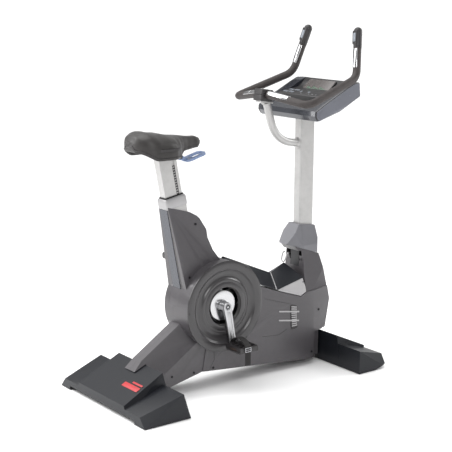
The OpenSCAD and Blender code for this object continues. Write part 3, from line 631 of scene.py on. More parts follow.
def dish_covers():
    """The round faces of the housing: an outer flange, a hollow ring, a lip and a sleeve round the disc."""
    right = [(197, 112.3), (197.4, 115), (196.6, 117.3), (194.5, 118.5), (180, 118.5), (163, 118.3),
             (160.4, 117.6),
             (157.6, 114.6), (154, 111), (148, 108.3), (140, 107), (131, 107), (125, 108), (121, 110.6),
             (118.4, 113.4), (116, 114.3), (108, 114.6), (106.4, 113.8), (104.8, 114.7), (87, 115.5),
             (84.4, 115.2),
             (83.2, 113.8), (83, 111), (83, 96), (85.5, 96), (85.5, 112), (116, 111.5), (121.5, 105.5),
             (140, 104.3), (155.5, 108.5), (162, 115.5), (186, 115.5), (186, 112.3)]
    piece("right_dish", across(revolve(right, 128, True), 0, CRANK_Z, RIGHT), "base", DISH,
          ["right_dish_cover"])
    left = [(166, 88.3), (166, 90.4), (165, 91.6), (163.5, 92), (130, 92), (127, 91.6), (122, 90.2),
            (120, 90),
            (118, 91.3), (116, 91.5), (104, 91.9), (88, 92.5), (84.6, 92.2), (83.2, 91), (83, 88), (83, 76),
            (85.5, 76), (85.5, 89.5), (117, 88.5), (120, 87), (129, 88.3)]
    piece("left_dish", across(revolve(left, 128, True), 0, CRANK_Z, LEFT), "base", DISH,
          ["left_dish_cover"])


def drum_bridge():
    """A curved filler behind the seat tower: it closes the gap between the shells and clears the post."""
    start, sweep, steps = 154, 48, 16
    inside, outside, half = 186, 189.5, 31
    rings = []
    for k in range(steps + 1):
        a = math.radians(start + sweep * k / steps)
        rings.append([Vector((r * math.cos(a), y, CRANK_Z + r * math.sin(a)))
                      for r, y in ((inside, -half), (outside, -half), (outside, half), (inside, half))])
    piece("drum_bridge", loft(rings), "base", SHELL, (), angle=40)


def screws():
    """Socket-head screws in the shells, and through the flange of the right round cover."""
    spots = [(-252, 92, 82.3), (-140, 88, 82.3), (-40, 92, 85.3), (150, 112, 85.3), (516, 60, 85.3),
             (560, 250, 78), (-105, 718, 43.4), (-150, 500, 64.2)]
    parts = [across(socket_head(5.0, 2.0, 2.3, y), x, z, hand) for x, z, y in spots for hand in (RIGHT, LEFT)]
    piece("shell_screw_heads", joined(*parts), "base", DARK_STEEL, ["shell_screws"])
    flange = []
    for turn in (56, 181, 306):
        a = math.radians(turn)
        flange.append(across(socket_head(4.0, 2.0, 1.9, 116.7), 189 * math.cos(a),
                             CRANK_Z + 189 * math.sin(a), RIGHT))
    piece("cover_screw_heads", joined(*flange), "base", DARK_STEEL)


def hexagon(across_corners, count, start=0.0):
    """A hexagon as a ring of points that can face a circle of the same count."""
    out = []
    for k in range(count):
        a = start + 2 * math.pi * k / count
        local = (a % (math.pi / 3)) - math.pi / 6
        r = across_corners * math.cos(math.pi / 6) / math.cos(local)
        out.append((r * math.cos(a), r * math.sin(a)))
    return out


def socket_head(radius, height, socket, z0=0.0, count=36):
    """A cap screw's head with a hexagon socket."""
    rings = [ring_at(circle(radius, count), z0), ring_at(circle(radius, count), z0 + height - radius * 0.12),
             ring_at(circle(radius * 0.94, count), z0 + height - radius * 0.03),
             ring_at(circle(radius * 0.86, count), z0 + height),
             ring_at(circle(socket * 1.12, count), z0 + height),
             ring_at(hexagon(socket, count), z0 + height - 0.3),
             ring_at(hexagon(socket, count), z0 + height - min(height * 0.7, 4.5))]
    return loft(rings)


# ---------------------------------------------------------------- cranks and pedals
def crank_frame(hand):
    """Local X runs from the axle to the pedal, Z outwards from the middle plane."""
    turn = math.radians(-90 + CRANK_TURN) if hand == RIGHT else math.radians(90 + CRANK_TURN)
    x_axis = Vector((math.cos(turn), 0, math.sin(turn)))
    z_axis = Vector((0, hand, 0))
    y_axis = z_axis.cross(x_axis)
    m = Matrix((x_axis, y_axis, z_axis)).transposed().to_4x4()
    return Matrix.Translation((0, 0, CRANK_Z)) @ m


def crank(hand):
    """One arm: a forged bar with a shallow channel, its hub reaching in to the axle's disc."""
    name = "right" if hand == RIGHT else "left"
    face = CRANK_FACE
    lift = [(CRANK_IN, 1.8), (CRANK_IN + 1.0, 0.5), (CRANK_IN + 2.6, 0.0), (face - 5.0, 0.0),
            (face - 2.6, 0.7),
            (face - 0.9, 2.3), (face, 4.6)]
    count = 72
    rings = [ring_at(taper_outline(20.5 - i, 14.6 - i, CRANK_LEN, count), z) for z, i in lift]
    rings.append(ring_at(taper_outline(8.8, 6.4, CRANK_LEN - 58, count, 31), face + 0.02))
    rings.append(ring_at(taper_outline(7.8, 5.4, CRANK_LEN - 60, count, 32), face - 1.3))
    rings.append(ring_at(taper_outline(6.6, 4.4, CRANK_LEN - 62, count, 33), face - 2.8))
    hub = revolve([(10.4, 98.4), (20.0, 98.4), (20.8, 99.4), (20.8, 112), (19.6, CRANK_IN + 1),
                   (10.4, CRANK_IN + 1)], 64, True)
    piece(name + "_crank_arm", joined(loft(rings), hub), "crankset", ALLOY, [name + "_crank"],
          crank_frame(hand), angle=40)
    bore = across(revolve([(13.6, face - 0.6), (13.4, face + 0.5), (12.2, face + 0.5), (11.8, face - 0.6)],
                          48, True), 0, CRANK_Z, hand)
    piece(name + "_bolt_seat", bore, "crankset", DARK_STEEL)
    boss = placed(revolve([(13.0, face - 1.0), (12.4, face + 0.3), (9.6, face + 0.3), (9.2, face - 1.0)],
                          48, True),
                  crank_frame(hand) @ Matrix.Translation((CRANK_LEN, 0, 0)))
    piece(name + "_pedal_boss", boss, "crankset", ALLOY)


def crank_hardware():
    """The two bolts and the polished discs behind the arms."""
    bolts = [across(socket_head(11, 9.2, 5.0, BOLT_SEAT, 48), 0, CRANK_Z, hand) for hand in (RIGHT, LEFT)]
    piece("crank_bolt_heads", joined(*bolts), "crankset", DARK_STEEL, ["crank_bolts"])
    dome = [(10, 94.5), (65.0, 94.5), (65.5, 95.0), (65.5, 96.6), (64.9, 97.4), (63.6, 97.8), (50, 98.0),
            (34, 98.0),
            (24, 97.9), (23, 97.4), (22, 97.9), (10, 98.0)]
    discs = [across(revolve(dome, 128, True), 0, CRANK_Z, hand) for hand in (RIGHT, LEFT)]
    piece("polished_discs", joined(*discs), "crankset", CHROME, ["crank_discs"])


def ring_ribs():
    """The dark ribbed ring that lines the gap round each disc."""
    for hand, low, high in ((RIGHT, 96.5, 110.5), (LEFT, 77.0, 89.0)):
        steps = 5
        profile = [(82.4, low)]
        for k in range(steps):
            z = low + (high - low) * k / steps
            d = (high - low) / steps
            profile += [(81.2, z + d * 0.25), (80.6, z + d * 0.5), (81.2, z + d * 0.75), (82.2, z + d)]
        profile += [(82.9, high), (82.9, low)]
        name = "right" if hand == RIGHT else "left"
        piece(name + "_ring_liner", across(revolve(profile, 128, True), 0, CRANK_Z, hand), "base", BLACK)


def pedal_centre(hand):
    a = math.radians(CRANK_TURN)
    sign = 1 if hand == RIGHT else -1
    return Vector((sign * CRANK_LEN * math.sin(a), hand * (PEDAL_IN + PEDAL_W / 2),
                   CRANK_Z - sign * CRANK_LEN * math.cos(a)))


def pedal(hand):
    """A moulded platform: ridged treads, cross webs and a bearing barrel, with reflectors front and rear."""
    name = "right" if hand == RIGHT else "left"
    body = name + "_pedal_body"
    centre = Matrix.Translation(pedal_centre(hand))
    half = PEDAL_W / 2
    parts = []
    for s in (-1, 1):
        rail = rounded([(39.5, -11), (42, -13), (44, -12.6), (48, -7), (48, 7), (44, 12.6), (42, 13),
                        (39.5, 11)],
                       1.2, 2)
        side = placed(slab([(s * x, z) for x, z in rail], -half, half, 0.8),
                      Matrix.Rotation(math.radians(90), 4, "X"))
        parts.append(side)
        for k in range(9):
            y = -half + 8 + k * (PEDAL_W - 16) / 8
            for z in (-12.9, 12.9):
                parts.append(box((8, 4.2, 2.2), (s * 42.6, y, z), 0.6, 0.5, 2))
    for y, w in ((-half + 6, 12), (-14, 8), (14, 8), (half - 6, 12)):
        parts.append(box((80, w - 0.6, 23), (0, y, 0), 1.2, 1.2, 3))
    for s in (-1, 1):
        parts.append(box((3.5, PEDAL_W - 6, 20), (s * 16.6, 0, 0), 0.6, 0.6, 2))
    barrel = placed(revolve([(7.0, -half), (12.6, -half), (13.2, -half + 0.8), (13.2, half - 7),
                             (12.2, half - 4),
                             (9, half - 1.2), (0.01, half - 0.8)], 48), sideways(0, 0, hand))
    parts.append(barrel)
    for k in range(5):
        y = -half + 14 + k * 18
        for z in (-12.6, 12.6):
            parts.append(box((30, 3.2, 1.4), (0, y, z), 0.5, 0.4, 2))
    piece(name + "_pedal_platform", joined(*parts), body, BLACK, [name + "_pedal"], centre)
    lens = [box((1.6, 46, 10), (s * 47.6, 0, 0), 0.5, 0.5, 2) for s in (-1, 1)]
    piece(name + "_pedal_reflectors", joined(*lens), body, REFLECTOR, (), centre)


def strap(hand):
    """The toe strap: an arch over the pedal, a slotted tail at the outer side and its buckle."""
    name = "right" if hand == RIGHT else "left"
    body = name + "_pedal_body"
    centre = Matrix.Translation(pedal_centre(hand) + Vector((-9, 0, 0)))
    radius, drop = 64.5, 22
    out = hand
    edge = math.asin((13.4 + drop) / radius)
    arch = []
    for k in range(25):
        a = edge + (math.pi - 2 * edge) * k / 24
        reach = max(-52.4, radius * math.cos(a))
        arch.append(Vector((0, out * reach, radius * math.sin(a) - drop)))
    tail = [Vector((0, out * 51.9, 14)), Vector((0, out * 51.9, 0)), Vector((0, out * 51.9, -20)),
            Vector((0, out * 51.8, -44)), Vector((0, out * 51.9, -65))]
    inner = [Vector((0, -out * 51.9, 16)), Vector((0, -out * 51.9, 13)), Vector((0, -out * 51.9, 10))]
    up = Vector((1, 0, 0))
    shape = rounded([(-14.6, -1.3), (14.6, -1.3), (14.6, 1.3), (-14.6, 1.3)], 1.1, 3)

    def webbing(path):
        rings = []
        for i, p in enumerate(path):
            t = (path[min(i + 1, len(path) - 1)] - path[max(i - 1, 0)]).normalized()
            normal = up.cross(t)
            rings.append([p + x * up + y * normal for x, y in shape])
        return loft(rings)
    parts = [webbing(arch), webbing(tail), webbing(inner)]
    for k in range(7):
        parts.append(box((19, 1.0, 2.2), (0, out * 53.2, -10 - k * 8), 0.4, 0.3, 2))
    piece(name + "_toe_strap", joined(*parts), body, RUBBER, [name + "_strap"], centre)
    buckle = []
    for x, z, w, h in ((0, 11, 30, 3.2), (0, -6, 30, 3.2), (-14.4, 2.5, 3, 20), (14.4, 2.5, 3, 20),
                       (0, 2.5, 26, 2.4)):
        buckle.append(box((w, 2.6, h), (x, out * 53.4, z), 0.8, 0.7, 3))
    piece(name + "_strap_buckle", joined(*buckle), body, STEEL, (), centre)


# ---------------------------------------------------------------- handlebar and console
def bar_half(hand):
    """Half of the handlebar's centre line, from the clamp to a tip."""
    points = [BAR_MID, BAR_LEAD]
    points += bend(BAR_LEAD, BAR_LOW, BAR_HIGH, LOW_CORNER, 14) + bend(BAR_LOW, BAR_HIGH, BAR_TIP,
        HIGH_CORNER, 14)
    points.append(BAR_TIP)
    return [hand_point(p, hand) for p in points]


def resampled(path, gap):
    """The same line with a point every gap millimetres or so."""
    out = [path[0]]
    for a, b in zip(path, path[1:]):
        n = max(1, round((b - a).length / gap))
        out += [a.lerp(b, k / n) for k in range(1, n + 1)]
    return out


def trimmed(path, start, end):
    """The part of a line between two distances along it."""
    out, run = [], 0.0
    for a, b in zip(path, path[1:]):
        step = (b - a).length
        for t in (start, end):
            if run <= t <= run + step:
                out.append(a.lerp(b, (t - run) / step))
        if start < run + step < end:
            out.append(b)
        run += step
    return out


def length_of(path):
    return sum((b - a).length for a, b in zip(path, path[1:]))


def grips():
    """Rubber sleeves over the bar, with rolled ends and a raised band at each end."""
    parts = []
    for hand in (RIGHT, LEFT):
        line = resampled(bar_half(hand), 5)
        total = length_of(line)
        line = trimmed(line, 30.5, total - POD_LEN - 0.5)
        radii = [GRIP_R] * len(line)
        radii[0] = radii[-1] = GRIP_R - 1.6
        radii[1] = radii[-2] = GRIP_R - 0.3
        parts.append(tube(line, radii, 32))
        for place in (3.0, total - POD_LEN - 36):
            near = trimmed(line, place, place + 5)
            if len(near) >= 2:
                parts.append(tube(near, GRIP_R + 0.5, 32))
    piece("grip_sleeves", joined(*parts), "base", GRIP, ["grip_sleeve"])


def sensor(a, b, start, end, facing):
    """A curved plate of two halves along the line from a to b, its edges turned down."""
    length = end - start
    middle = length / 2
    rings = []
    for z, grow in ((0, 0.0), (0.6, 1.2), (2, 1.7), (middle - 1.2, 1.7), (middle - 0.5, 1.1),
                    (middle + 0.5, 1.1),
                    (middle + 1.2, 1.7), (length - 2, 1.7), (length - 0.6, 1.2), (length, 0.0)):
        arc, back = [], []
        for k in range(17):
            t = math.radians(facing - 49 + 98 * k / 16)
            r = GRIP_R + grow - (0.8 if k in (0, 16) else 0.0)
            arc.append(Vector((r * math.cos(t), r * math.sin(t), z)))
        for k in range(9):
            t = math.radians(facing + 49 - 98 * k / 8)
            back.append(Vector(((GRIP_R - 1.6) * math.cos(t), (GRIP_R - 1.6) * math.sin(t), z)))
        rings.append(arc + back)
    return placed(loft(rings), along(a + (b - a).normalized() * start, b))


def sensors():
    """Chromed pulse plates on the cross bar and on the uprights, facing the rider."""
    parts = []
    for hand in (RIGHT, LEFT):
        low, high = hand_point(BAR_LOW, hand), hand_point(BAR_HIGH, hand)
        parts.append(sensor(hand_point(BAR_LEAD, hand), low, 8, 118, 180 + 45 * hand))
        parts.append(sensor(high, hand_point(BAR_TIP, hand), 44, 129, 180))
    piece("pulse_plates", joined(*parts), "base", CHROME, ["pulse_sensors"])


def hand_point(p, hand):
    return Vector((p.x, -hand * p.y, p.z))


def pods():
    """Thumb-control housings with a ribbed collar, a domed end and two grey pads each."""
    dome = POD_LEN - POD_R
    profile = [(13.2, 0), (17.2, 0), (18.2, 0.8), (18.2, 3.4), (17.2, 4.2), (17.2, 5.4), (18.2, 6.2),
               (18.5, 8.0),
               (18.5, dome - 7), (17.4, dome - 6), (17.4, dome - 4.8), (18.5, dome - 3.8)]
    profile += [(POD_R * math.cos(math.radians(a)),
                 dome + POD_R * math.sin(math.radians(a))) for a in range(0, 90, 9)]
    profile.append((0.01, POD_LEN))
    for hand in (RIGHT, LEFT):
        name = "right" if hand == RIGHT else "left"
        high, tip = hand_point(BAR_HIGH, hand), hand_point(BAR_TIP, hand)
        frame_at = along(tip - (tip - high).normalized() * POD_LEN, tip)

        def pad(half_w, low, high_end, r, levels):
            rings = []
            for x, i in levels:
                corner = rounded([(-half_w + i, low + i), (half_w - i, low + i), (half_w - i, high_end - i),
                                  (-half_w + i, high_end - i)], max(r - i * 0.5, 0.3), 4)
                rings.append([Vector((-x, y, z)) for y, z in corner])
            return loft(rings)
        house = pad(12, 14, 74, 5, ((8, 0), (19.5, 0), (20.8, 0.6), (21.5, 2.0), (21.5, 2.9), (20.4, 3.5),
                                    (19.6, 3.7)))
        piece(name + "_pod_housing", joined(revolve(profile, 48), house), "base", BLACK,
              [name + "_pod"], frame_at)
        parts = [pad(7.2, 25, 63, 3, ((18.9, 0), (21.6, 0), (22.3, 0.5), (22.6, 1.5)))]
        for z in (34.5, 53.5):
            ring = stack(lambda i: circle(5.4 - i, 28), [(0, 0), (0.9, 0.1), (1.35, 0.7), (1.45, 1.6),
                                                         (1.1, 3.2)])
            parts.append(placed(ring, Matrix.Translation((-22.0, 0, z)) @ Matrix.Rotation(math.radians(-90),
                4, "Y")))
        piece(name + "_rocker_pads", joined(*parts), name + "_thumb_rocker", KEY,
              [name + "_rocker"],
              frame_at)


def clamp():
    """The bar clamp: a split block with four cap screws and a plain ring on top."""
    place = Matrix.Translation((283, 0, 1230)) @ Matrix.Rotation(math.radians(8), 4, "Y")
    upper = stack(lambda i: rectangle(66 - 2 * i, 58 - 2 * i, 8 - i * 0.5, 6),
                  [(1.0, 1.2), (2.0, 0.2), (3.0, 0), (20.5, 0), (24.0, 1.0), (25.5, 2.8), (26.0, 5.0)])
    lower = stack(lambda i: rectangle(66 - 2 * i, 58 - 2 * i, 8 - i * 0.5, 6),
                  [(-25.6, 1.6), (-24.6, 0.4), (-23.4, 0), (-1.6, 0), (-0.6, 0.2), (0.2, 1.2)])
    core = stack(lambda i: rectangle(62, 54, 7, 6), [(-3, 0), (3, 0)])
    piece("clamp_block", joined(upper, lower, core), "base", BLACK, ["handlebar_clamp"],
          place)
    ring = revolve([(17.0, 25.6), (17.0, 26.7), (16.2, 27.2), (13.6, 27.2), (12.8, 26.6), (12.8, 25.6)], 64,
                   True)
    disc = revolve([(12.0, 25.6), (12.0, 26.2), (11.0, 26.5), (0.01, 26.9)], 64)
    piece("clamp_ring", joined(ring, disc), "base", SILVER_PAINT, (), place)
    caps = []
    for x in (-25, 25):
        for y in (-21.5, 21.5):
            caps.append(placed(socket_head(4.2, 2.4, 2.1, 0), Matrix.Translation((x, y, 23.4))))
    piece("clamp_screws", joined(*caps), "base", DARK_STEEL, (), place)


def stem():
    """The curved neck from the mast to the clamp, with its flange and a weld at the mast."""
    a, b, c = Vector((306, 0, 1180)), Vector((355, 0, 1022)), Vector((MAST_X - 43, 0, 1010))
    line = resampled([Vector((302, 0, 1195.5)), a] + bend(a, b, c, 100,
                                                          24) + [Vector((MAST_X - 41, 0, 1010))], 9)
    radii = [17.0] * len(line)
    neck = tube(line, radii, 36)
    saddle = placed(revolve([(0.01, 0), (26, 0), (25.6, 1.6), (22.5, 3.2), (19.4, 6.5), (17.4, 12),
                             (16.9, 12)], 48),
                    along(Vector((MAST_X - 40.6, 0, 1010)), Vector((MAST_X - 90, 0, 1016))))
    flange = placed(stack(lambda i: rectangle(66 - 2 * i, 46 - 2 * i, 8 - i * 0.4, 6),
                          [(0, 0.8), (0.8, 0), (6.2, 0), (7.0, 0.8)]),
                    Matrix.Translation((289, 0, 1197)) @ Matrix.Rotation(math.radians(8), 4, "Y"))
    web = loft([[Vector((x, y, z)) for x, z in ((268, 1199), (322, 1191), (322, 1172 + abs(y) * 3),
                                                (296, 1168 + abs(y) * 3))]
                for y in (-4, -3, 3, 4)])
    piece("stem_tube", joined(neck, saddle, flange, web), "base", SILVER_PAINT,
          ["handlebar_stem"],
          angle=40)


def console_rings(profile_full, profile_cut, half, cut):
    rings = []
    cx = sum(p[0] for p in profile_full) / len(profile_full)
    cz = sum(p[1] for p in profile_full) / len(profile_full)
    for y, grow in ((half + 1.0, 0.90), (half - 0.5, 0.955), (half - 4, 0.985), (half - 10, 1.0),
                    (cut + 1.2, 1.0)):
        rings.append((y, [(cx + (x - cx) * grow, cz + (z - cz) * grow) for x, z in profile_full]))
    rings.append((cut, profile_cut))
    rings.append((0, profile_cut))
    both = rings + [(-y, p) for y, p in reversed(rings[:-1])]
    return [[Vector((x, y, z)) for x, z in p] for y, p in both]


def plate(outline, low, high, hand, edge=0.0):
    """An outline in X and Z drawn outwards between two distances from the middle plane."""
    part = slab([(x, z if hand == RIGHT else -z) for x, z in outline], low, high, edge)
    return placed(part, sideways(0, 0, hand))


PANEL_TILT = math.radians(8.5)


def on_panel(x, y):
    """A place on the panel's lower face, Z square to it."""
    z = 1225.5 + (x - 478) * math.tan(PANEL_TILT)
    return Matrix.Translation((x, y, z)) @ Matrix.Rotation(-PANEL_TILT, 4,
                                                           "Y")


def console():
    """The console: a glossy tray with pale end caps, and a dark panel sunk in it."""
    full = [(427, 1124), (412, 1146), (414, 1168), (468, 1198.7), (472, 1201), (600, 1266), (636, 1281.5),
            (664, 1281), (669, 1221), (551, 1160)]
    cut = [(427, 1124), (412, 1146), (414, 1168), (467, 1198), (471.5, 1181), (602, 1223), (638, 1258.5),
           (661, 1262), (669, 1221), (551, 1160)]
    piece("console_tray", loft(console_rings(full, cut, 195, 135.6)), "base", CONSOLE,
          ["console_shell"], edge=5.0, segments=4, angle=24)
    cap = rounded([(430, 1127), (415.5, 1147), (417, 1166), (472, 1197), (600, 1261), (637, 1277.5),
                   (660, 1277),
                   (665, 1223), (550, 1164)], 7, 4)
    caps = [plate(cap, 193.5, 198.5, hand, 1.8) for hand in (RIGHT, LEFT)]
    piece("console_end_caps", joined(*caps), "base", END_CAP, angle=50)
    seam = rounded([(428, 1125), (413, 1146.5), (415, 1167.5), (471, 1199.5), (600, 1264), (636, 1280),
                    (662.5, 1279.5),
                    (667.5, 1221.5), (551, 1161.5)], 8, 4)
    seams = [plate(seam, 193.2, 195.6, hand, 0.5) for hand in (RIGHT, LEFT)]
    piece("console_end_seams", joined(*seams), "base", BLACK, angle=50)
    side = [(474, 1202), (472, 1221), (478, 1225.6), (545, 1235.6), (588, 1243), (612, 1259), (634, 1279),
            (643, 1283), (648, 1281), (640, 1263), (604, 1228)]
    rings = [[Vector((x + (555 - x) * g, y, z + (1236 - z) * g)) for x, z in side]
             for y, g in ((-134.9, 0.03), (-133.6, 0.008), (-131, 0), (131, 0), (133.6, 0.008),
                          (134.9, 0.03))]
    piece("console_face", loft(rings), "base", PANEL, ["console_panel"], edge=1.6, angle=40)
    display()
    panel_keys()


def display():
    """The display: a tinted lens with a curved lower edge over a darker window, and a dim bar graph in it."""
    slope = Matrix.Translation((592, 0, 1246.5)) @ Matrix.Rotation(math.radians(-40), 4, "Y")

    def lens(grow, low, high):
        count = 15
        lower = [(-30 - 7 * math.cos(math.radians(90 * t)) - grow, t * (88 + grow))
                 for t in (2 * k / (count - 1) - 1 for k in range(count))]
        outline = rounded(lower + [(45 + grow, 84 + grow), (45 + grow, -84 - grow)], [2] * count + [10, 10],
                          4)
        return slab(outline, low, high, 0.8)
    piece("display_frame", lens(3.5, -4, 3.6), "base", BLACK, (), slope)
    piece("display_window", lens(0, -2, 4.6), "base", DISPLAY, ["display_lens"], slope)
    bars = []
    for k in range(14):
        rise = 4 + 3 * (k % 5) + (k // 5)
        bars.append(box((rise, 4.2, 0.3), (rise / 2 - 14, -58 + k * 9, 4.7), 0.4, 0.1, 2))
    piece("display_bars", joined(*bars), "base", GREEN_LIGHT, (), slope)


def panel_keys():
    """Two moving keys and a fixed pad of eight small keys, with raised rings round them."""
    for hand, name in ((LEFT, "start"), (RIGHT, "stop")):
        cap = revolve([(7.2, -4.6), (7.3, 2.4), (6.9, 3.3), (6.0, 3.8), (3.5, 3.5), (0.01, 3.3)], 40)
        place = Matrix.Translation((520, hand * 26, 1229.6)) @ Matrix.Rotation(math.radians(-7.6), 4, "Y")
        piece(name + "_key_cap", cap, name + "_button", KEY, [name + "_key"], place)
        ring = revolve([(8.2, 1.5), (10.2, 1.5), (10.2, 2.9), (9.6, 3.4), (8.6, 3.4), (8.2, 3.0)], 40, True)
        piece(name + "_key_ring", ring, "base", BLACK, (), place)
    pads = []
    for x in (497, 532):
        for k in range(4):
            pads.append(placed(stack(lambda i: rectangle(15 - 2 * i, 10 - 2 * i, 4 - i * 0.5, 5),
                                     [(-1, 0), (1.6, 0), (2.3, 0.4), (2.6, 1.2), (2.4, 2.6)]),
                               on_panel(x + (3 if k % 2 else 0), 58 + k * 19)))
    piece("small_keys", joined(*pads), "base", KEY)
    marks = [placed(revolve([(3.4, -0.5), (3.4, 0.6), (2.8, 1.0), (0.01, 1.0)], 24), on_panel(494, y))
             for y in (0, -52, -76, -100)]
    piece("panel_dimples", joined(*marks), "base", STEEL)
    light = placed(revolve([(2.2, -0.5), (2.2, 0.8), (1.5, 1.3), (0.01, 1.5)], 24), on_panel(540, 0))
    piece("power_light", light, "base", GREEN_LIGHT)


# ---------------------------------------------------------------- frame, seat and the rest
def hoop(levels, steps=5):
    """A closed band round Z: levels are (width, depth, corner radius, z), the last joined to the first."""
    rings = [ring_at(rectangle(w, d, r, steps), z) for w, d, r, z in levels]
    return loft(rings + [rings[0]], (False, False))


def seat_column():
    """The seat tube with a dark strip down its back, a silver collar and a black wiper lip round the post."""
    refined("seat_tube", SILVER_PAINT, 4.0, 3)
    back = Matrix.Rotation(math.radians(-90), 4, "Y")
    strip = placed(slab(rounded([(-395, -26.5), (-7, -26.5), (-7, 26.5), (-395, 26.5)], 3, 3), 47.6, 50.2,
                        0.8), back)
    piece("seat_tube_strip", strip, "base", COLLAR, (), SEAT_FRAME)
    seam = placed(slab(rounded([(-398, -29.4), (-3.5, -29.4), (-3.5, 29.4), (-398, 29.4)], 3, 3), 47.4,
                       48.7, 0.3), back)
    piece("seat_tube_seam", seam, "base", BLACK, (), SEAT_FRAME)
    collar = hoop([(97, 61, 7, -7), (103, 67, 9, -5), (104.5, 68.5, 9, -3), (104.5, 68.5, 9, 27),
                   (102, 66, 9, 33),
                   (96, 56, 7, 37.5), (90, 45, 4, 38.4), (86.4, 40.4, 3, 38.4), (86.4, 40.4, 3, 30),
                   (97, 61, 7, 30)])
    piece("seat_collar", collar, "base", SILVER_PLASTIC, (), SEAT_FRAME, edge=0.5)
    lip = hoop([(93, 48, 5, 38.2), (93, 48, 5, 40.6), (91, 46, 4.5, 42.6), (88, 43, 4, 43),
                (85.4, 39.4, 3, 42.4),
                (85.4, 39.4, 3, 38.2)])
    piece("post_wiper", lip, "base", RUBBER, (), SEAT_FRAME)


def rack_rungs():
    """Pale bottoms of the notches in the height scale."""
    rungs = [box((8, 0.3, 5), (22, -17.9, -171.5 + k * 11), 0.4, 0.1, 2) for k in range(31)]
    piece("rack_rungs", joined(*rungs), "seat", SILVER_PAINT, (), SEAT_FRAME)


def lever():
    """The translucent paddle, a raised rim round its finger hole, and the heads of its pin."""
    refined("seat_lever", BLUE, 2.2, 3)
    tilt = Matrix.Translation((-130.8, 0, 977.5)) @ Matrix.Rotation(math.radians(-16), 4, "Y")
    rim = hoop([(59, 41, 14, 8.6), (59, 41, 14, 9.8), (57, 39, 13.5, 10.5), (54.4, 36.4, 12.6, 10.4),
                (52.6, 34.6, 12.2, 9.6), (52.6, 34.6, 12.2, 8.6)], 8)
    piece("lever_rim", rim, "lever", BLUE, (), tilt @ Matrix.Translation((58, 0, 0)))
    pin = across(revolve([(2.0, -16.4), (5.0, -16.4), (5.4, -16.9), (5.0, -17.8), (3.0, -18.2),
                          (0.01, -18.3)], 32),
                 LEVER_AT.x, LEVER_AT.z, RIGHT)
    head = across(revolve([(2.0, 16.4), (5.0, 16.4), (5.4, 16.9), (5.0, 17.8), (3.0, 18.2), (0.01, 18.3)],
                          32),
                  LEVER_AT.x, LEVER_AT.z, RIGHT)
    piece("lever_pin_heads", joined(pin, head), "seat", DARK_STEEL)


def between(table, x):
    """A smooth value read from a short table of (x, value), held at both ends."""
    if x <= table[0][0]:
        return table[0][1]
    for (x0, a), (x1, b) in zip(table, table[1:]):
        if x <= x1:
            t = (x - x0) / (x1 - x0)
            return a + (b - a) * (3 * t * t - 2 * t ** 3) if t < 1 else b
    return table[-1][1]


SADDLE_BACK, SADDLE_NOSE = -404.0, -59.5


def saddle_half(x):
    """Half of the saddle's width at x: a broad rear, a waist and a narrow nose."""
    rear = min(1.0, max(0.0, (x - SADDLE_BACK) / 92))
    swell = 107 * math.sqrt(1 - (1 - rear) ** 2)
    body = between([(-262, 107), (-236, 104), (-205, 84), (-182, 58), (-160, 42), (-130, 33), (-95, 28)], x)
    nose = min(1.0, max(0.0, (SADDLE_NOSE - x) / 30))
    return min(swell, body) * math.sqrt(1 - (1 - nose) ** 2)


def saddle_heights(x):
    """Top and bottom edge of the pad at x."""
    top = between([(-404, 1084), (-388, 1108), (-350, 1119.5), (-290, 1109), (-200, 1094), (-90, 1085.5),
                   (-68, 1078), (-59.5, 1062)], x)
    low = between([(-404, 1060), (-396, 1037), (-320, 1006), (-200, 1006), (-150, 1029), (-80, 1036),
                   (-66, 1046), (-59.5, 1056)], x)
    return top, low


def saddle_ring(x, skin=0.0, count=36):
    """One slice across the pad: a crowned top with a pressure channel, full sides and a hollow below."""
    half, (top, low) = saddle_half(x) - skin, saddle_heights(x)
    half = max(half, 0.6)
    top -= skin
    ring = []
    for k in range(count + 1):
        a = math.pi * k / count
        c, s = math.cos(a), math.sin(a)
        y = half * math.copysign(abs(c) ** 0.62, c)
        crown = 9 * min(1, half / 110) * (1 - (y / half) ** 2)
        z = low + (top - 9 * min(1, half / 110) + crown - low) * abs(s) ** 0.42
        groove = 3.4 * math.exp(-(y / 9) ** 2) * between([(-370, 0), (-320, 1), (-130, 1), (-95, 0)], x)
        ring.append(Vector((x, y, z - groove * s)))
    wall = min(11.0, half * 0.4)
    roof = low + min(46.0, (top - low) * 0.5) * between([(-398, 0), (-360, 1), (-120, 1), (-75, 0)], x)
    inner = []
    for y, z in ((-half + wall * 0.35, low - 0.0), (-half + wall, low + 1.5), (-half + wall * 1.2, roof - 2),
                 (-half * 0.55, roof), (0, roof), (half * 0.55, roof), (half - wall * 1.2, roof - 2),
                 (half - wall, low + 1.5), (half - wall * 0.35, low - 0.0)):
        inner.append(Vector((x, y, max(z, low))))
    return ring + inner


def puffed(obj, held, limit):
    """Fills the piece with a little air, lets the skin settle and keeps the result."""
    rest = [v.co.copy() for v in obj.data.vertices]
    obj.vertex_groups.new(name="held").add(held, 1.0, "REPLACE")
    cloth = obj.modifiers.new("pressure", "CLOTH")
    cloth.settings.quality = 6
    cloth.settings.mass = 0.3
    cloth.settings.tension_stiffness = cloth.settings.compression_stiffness = 25
    cloth.settings.bending_stiffness = 4
    cloth.settings.use_pressure = True
    cloth.settings.uniform_pressure_force = 4
    cloth.settings.vertex_group_mass = "held"
    cloth.settings.effector_weights.gravity = 0
    cloth.point_cache.frame_start, cloth.point_cache.frame_end = 1, 20
    for step in range(1, 21):
        bpy.context.scene.frame_set(step)
    settled = obj.evaluated_get(bpy.context.evaluated_depsgraph_get()).data
    moved = [v.co.copy() for v in settled.vertices]
    obj.modifiers.remove(cloth)
    for v, a, b in zip(obj.data.vertices, rest, moved):
        step = b - a
        v.co = a + step * min(1.0, limit * MM / max(step.length, 1e-9))
    bpy.context.scene.frame_set(1)


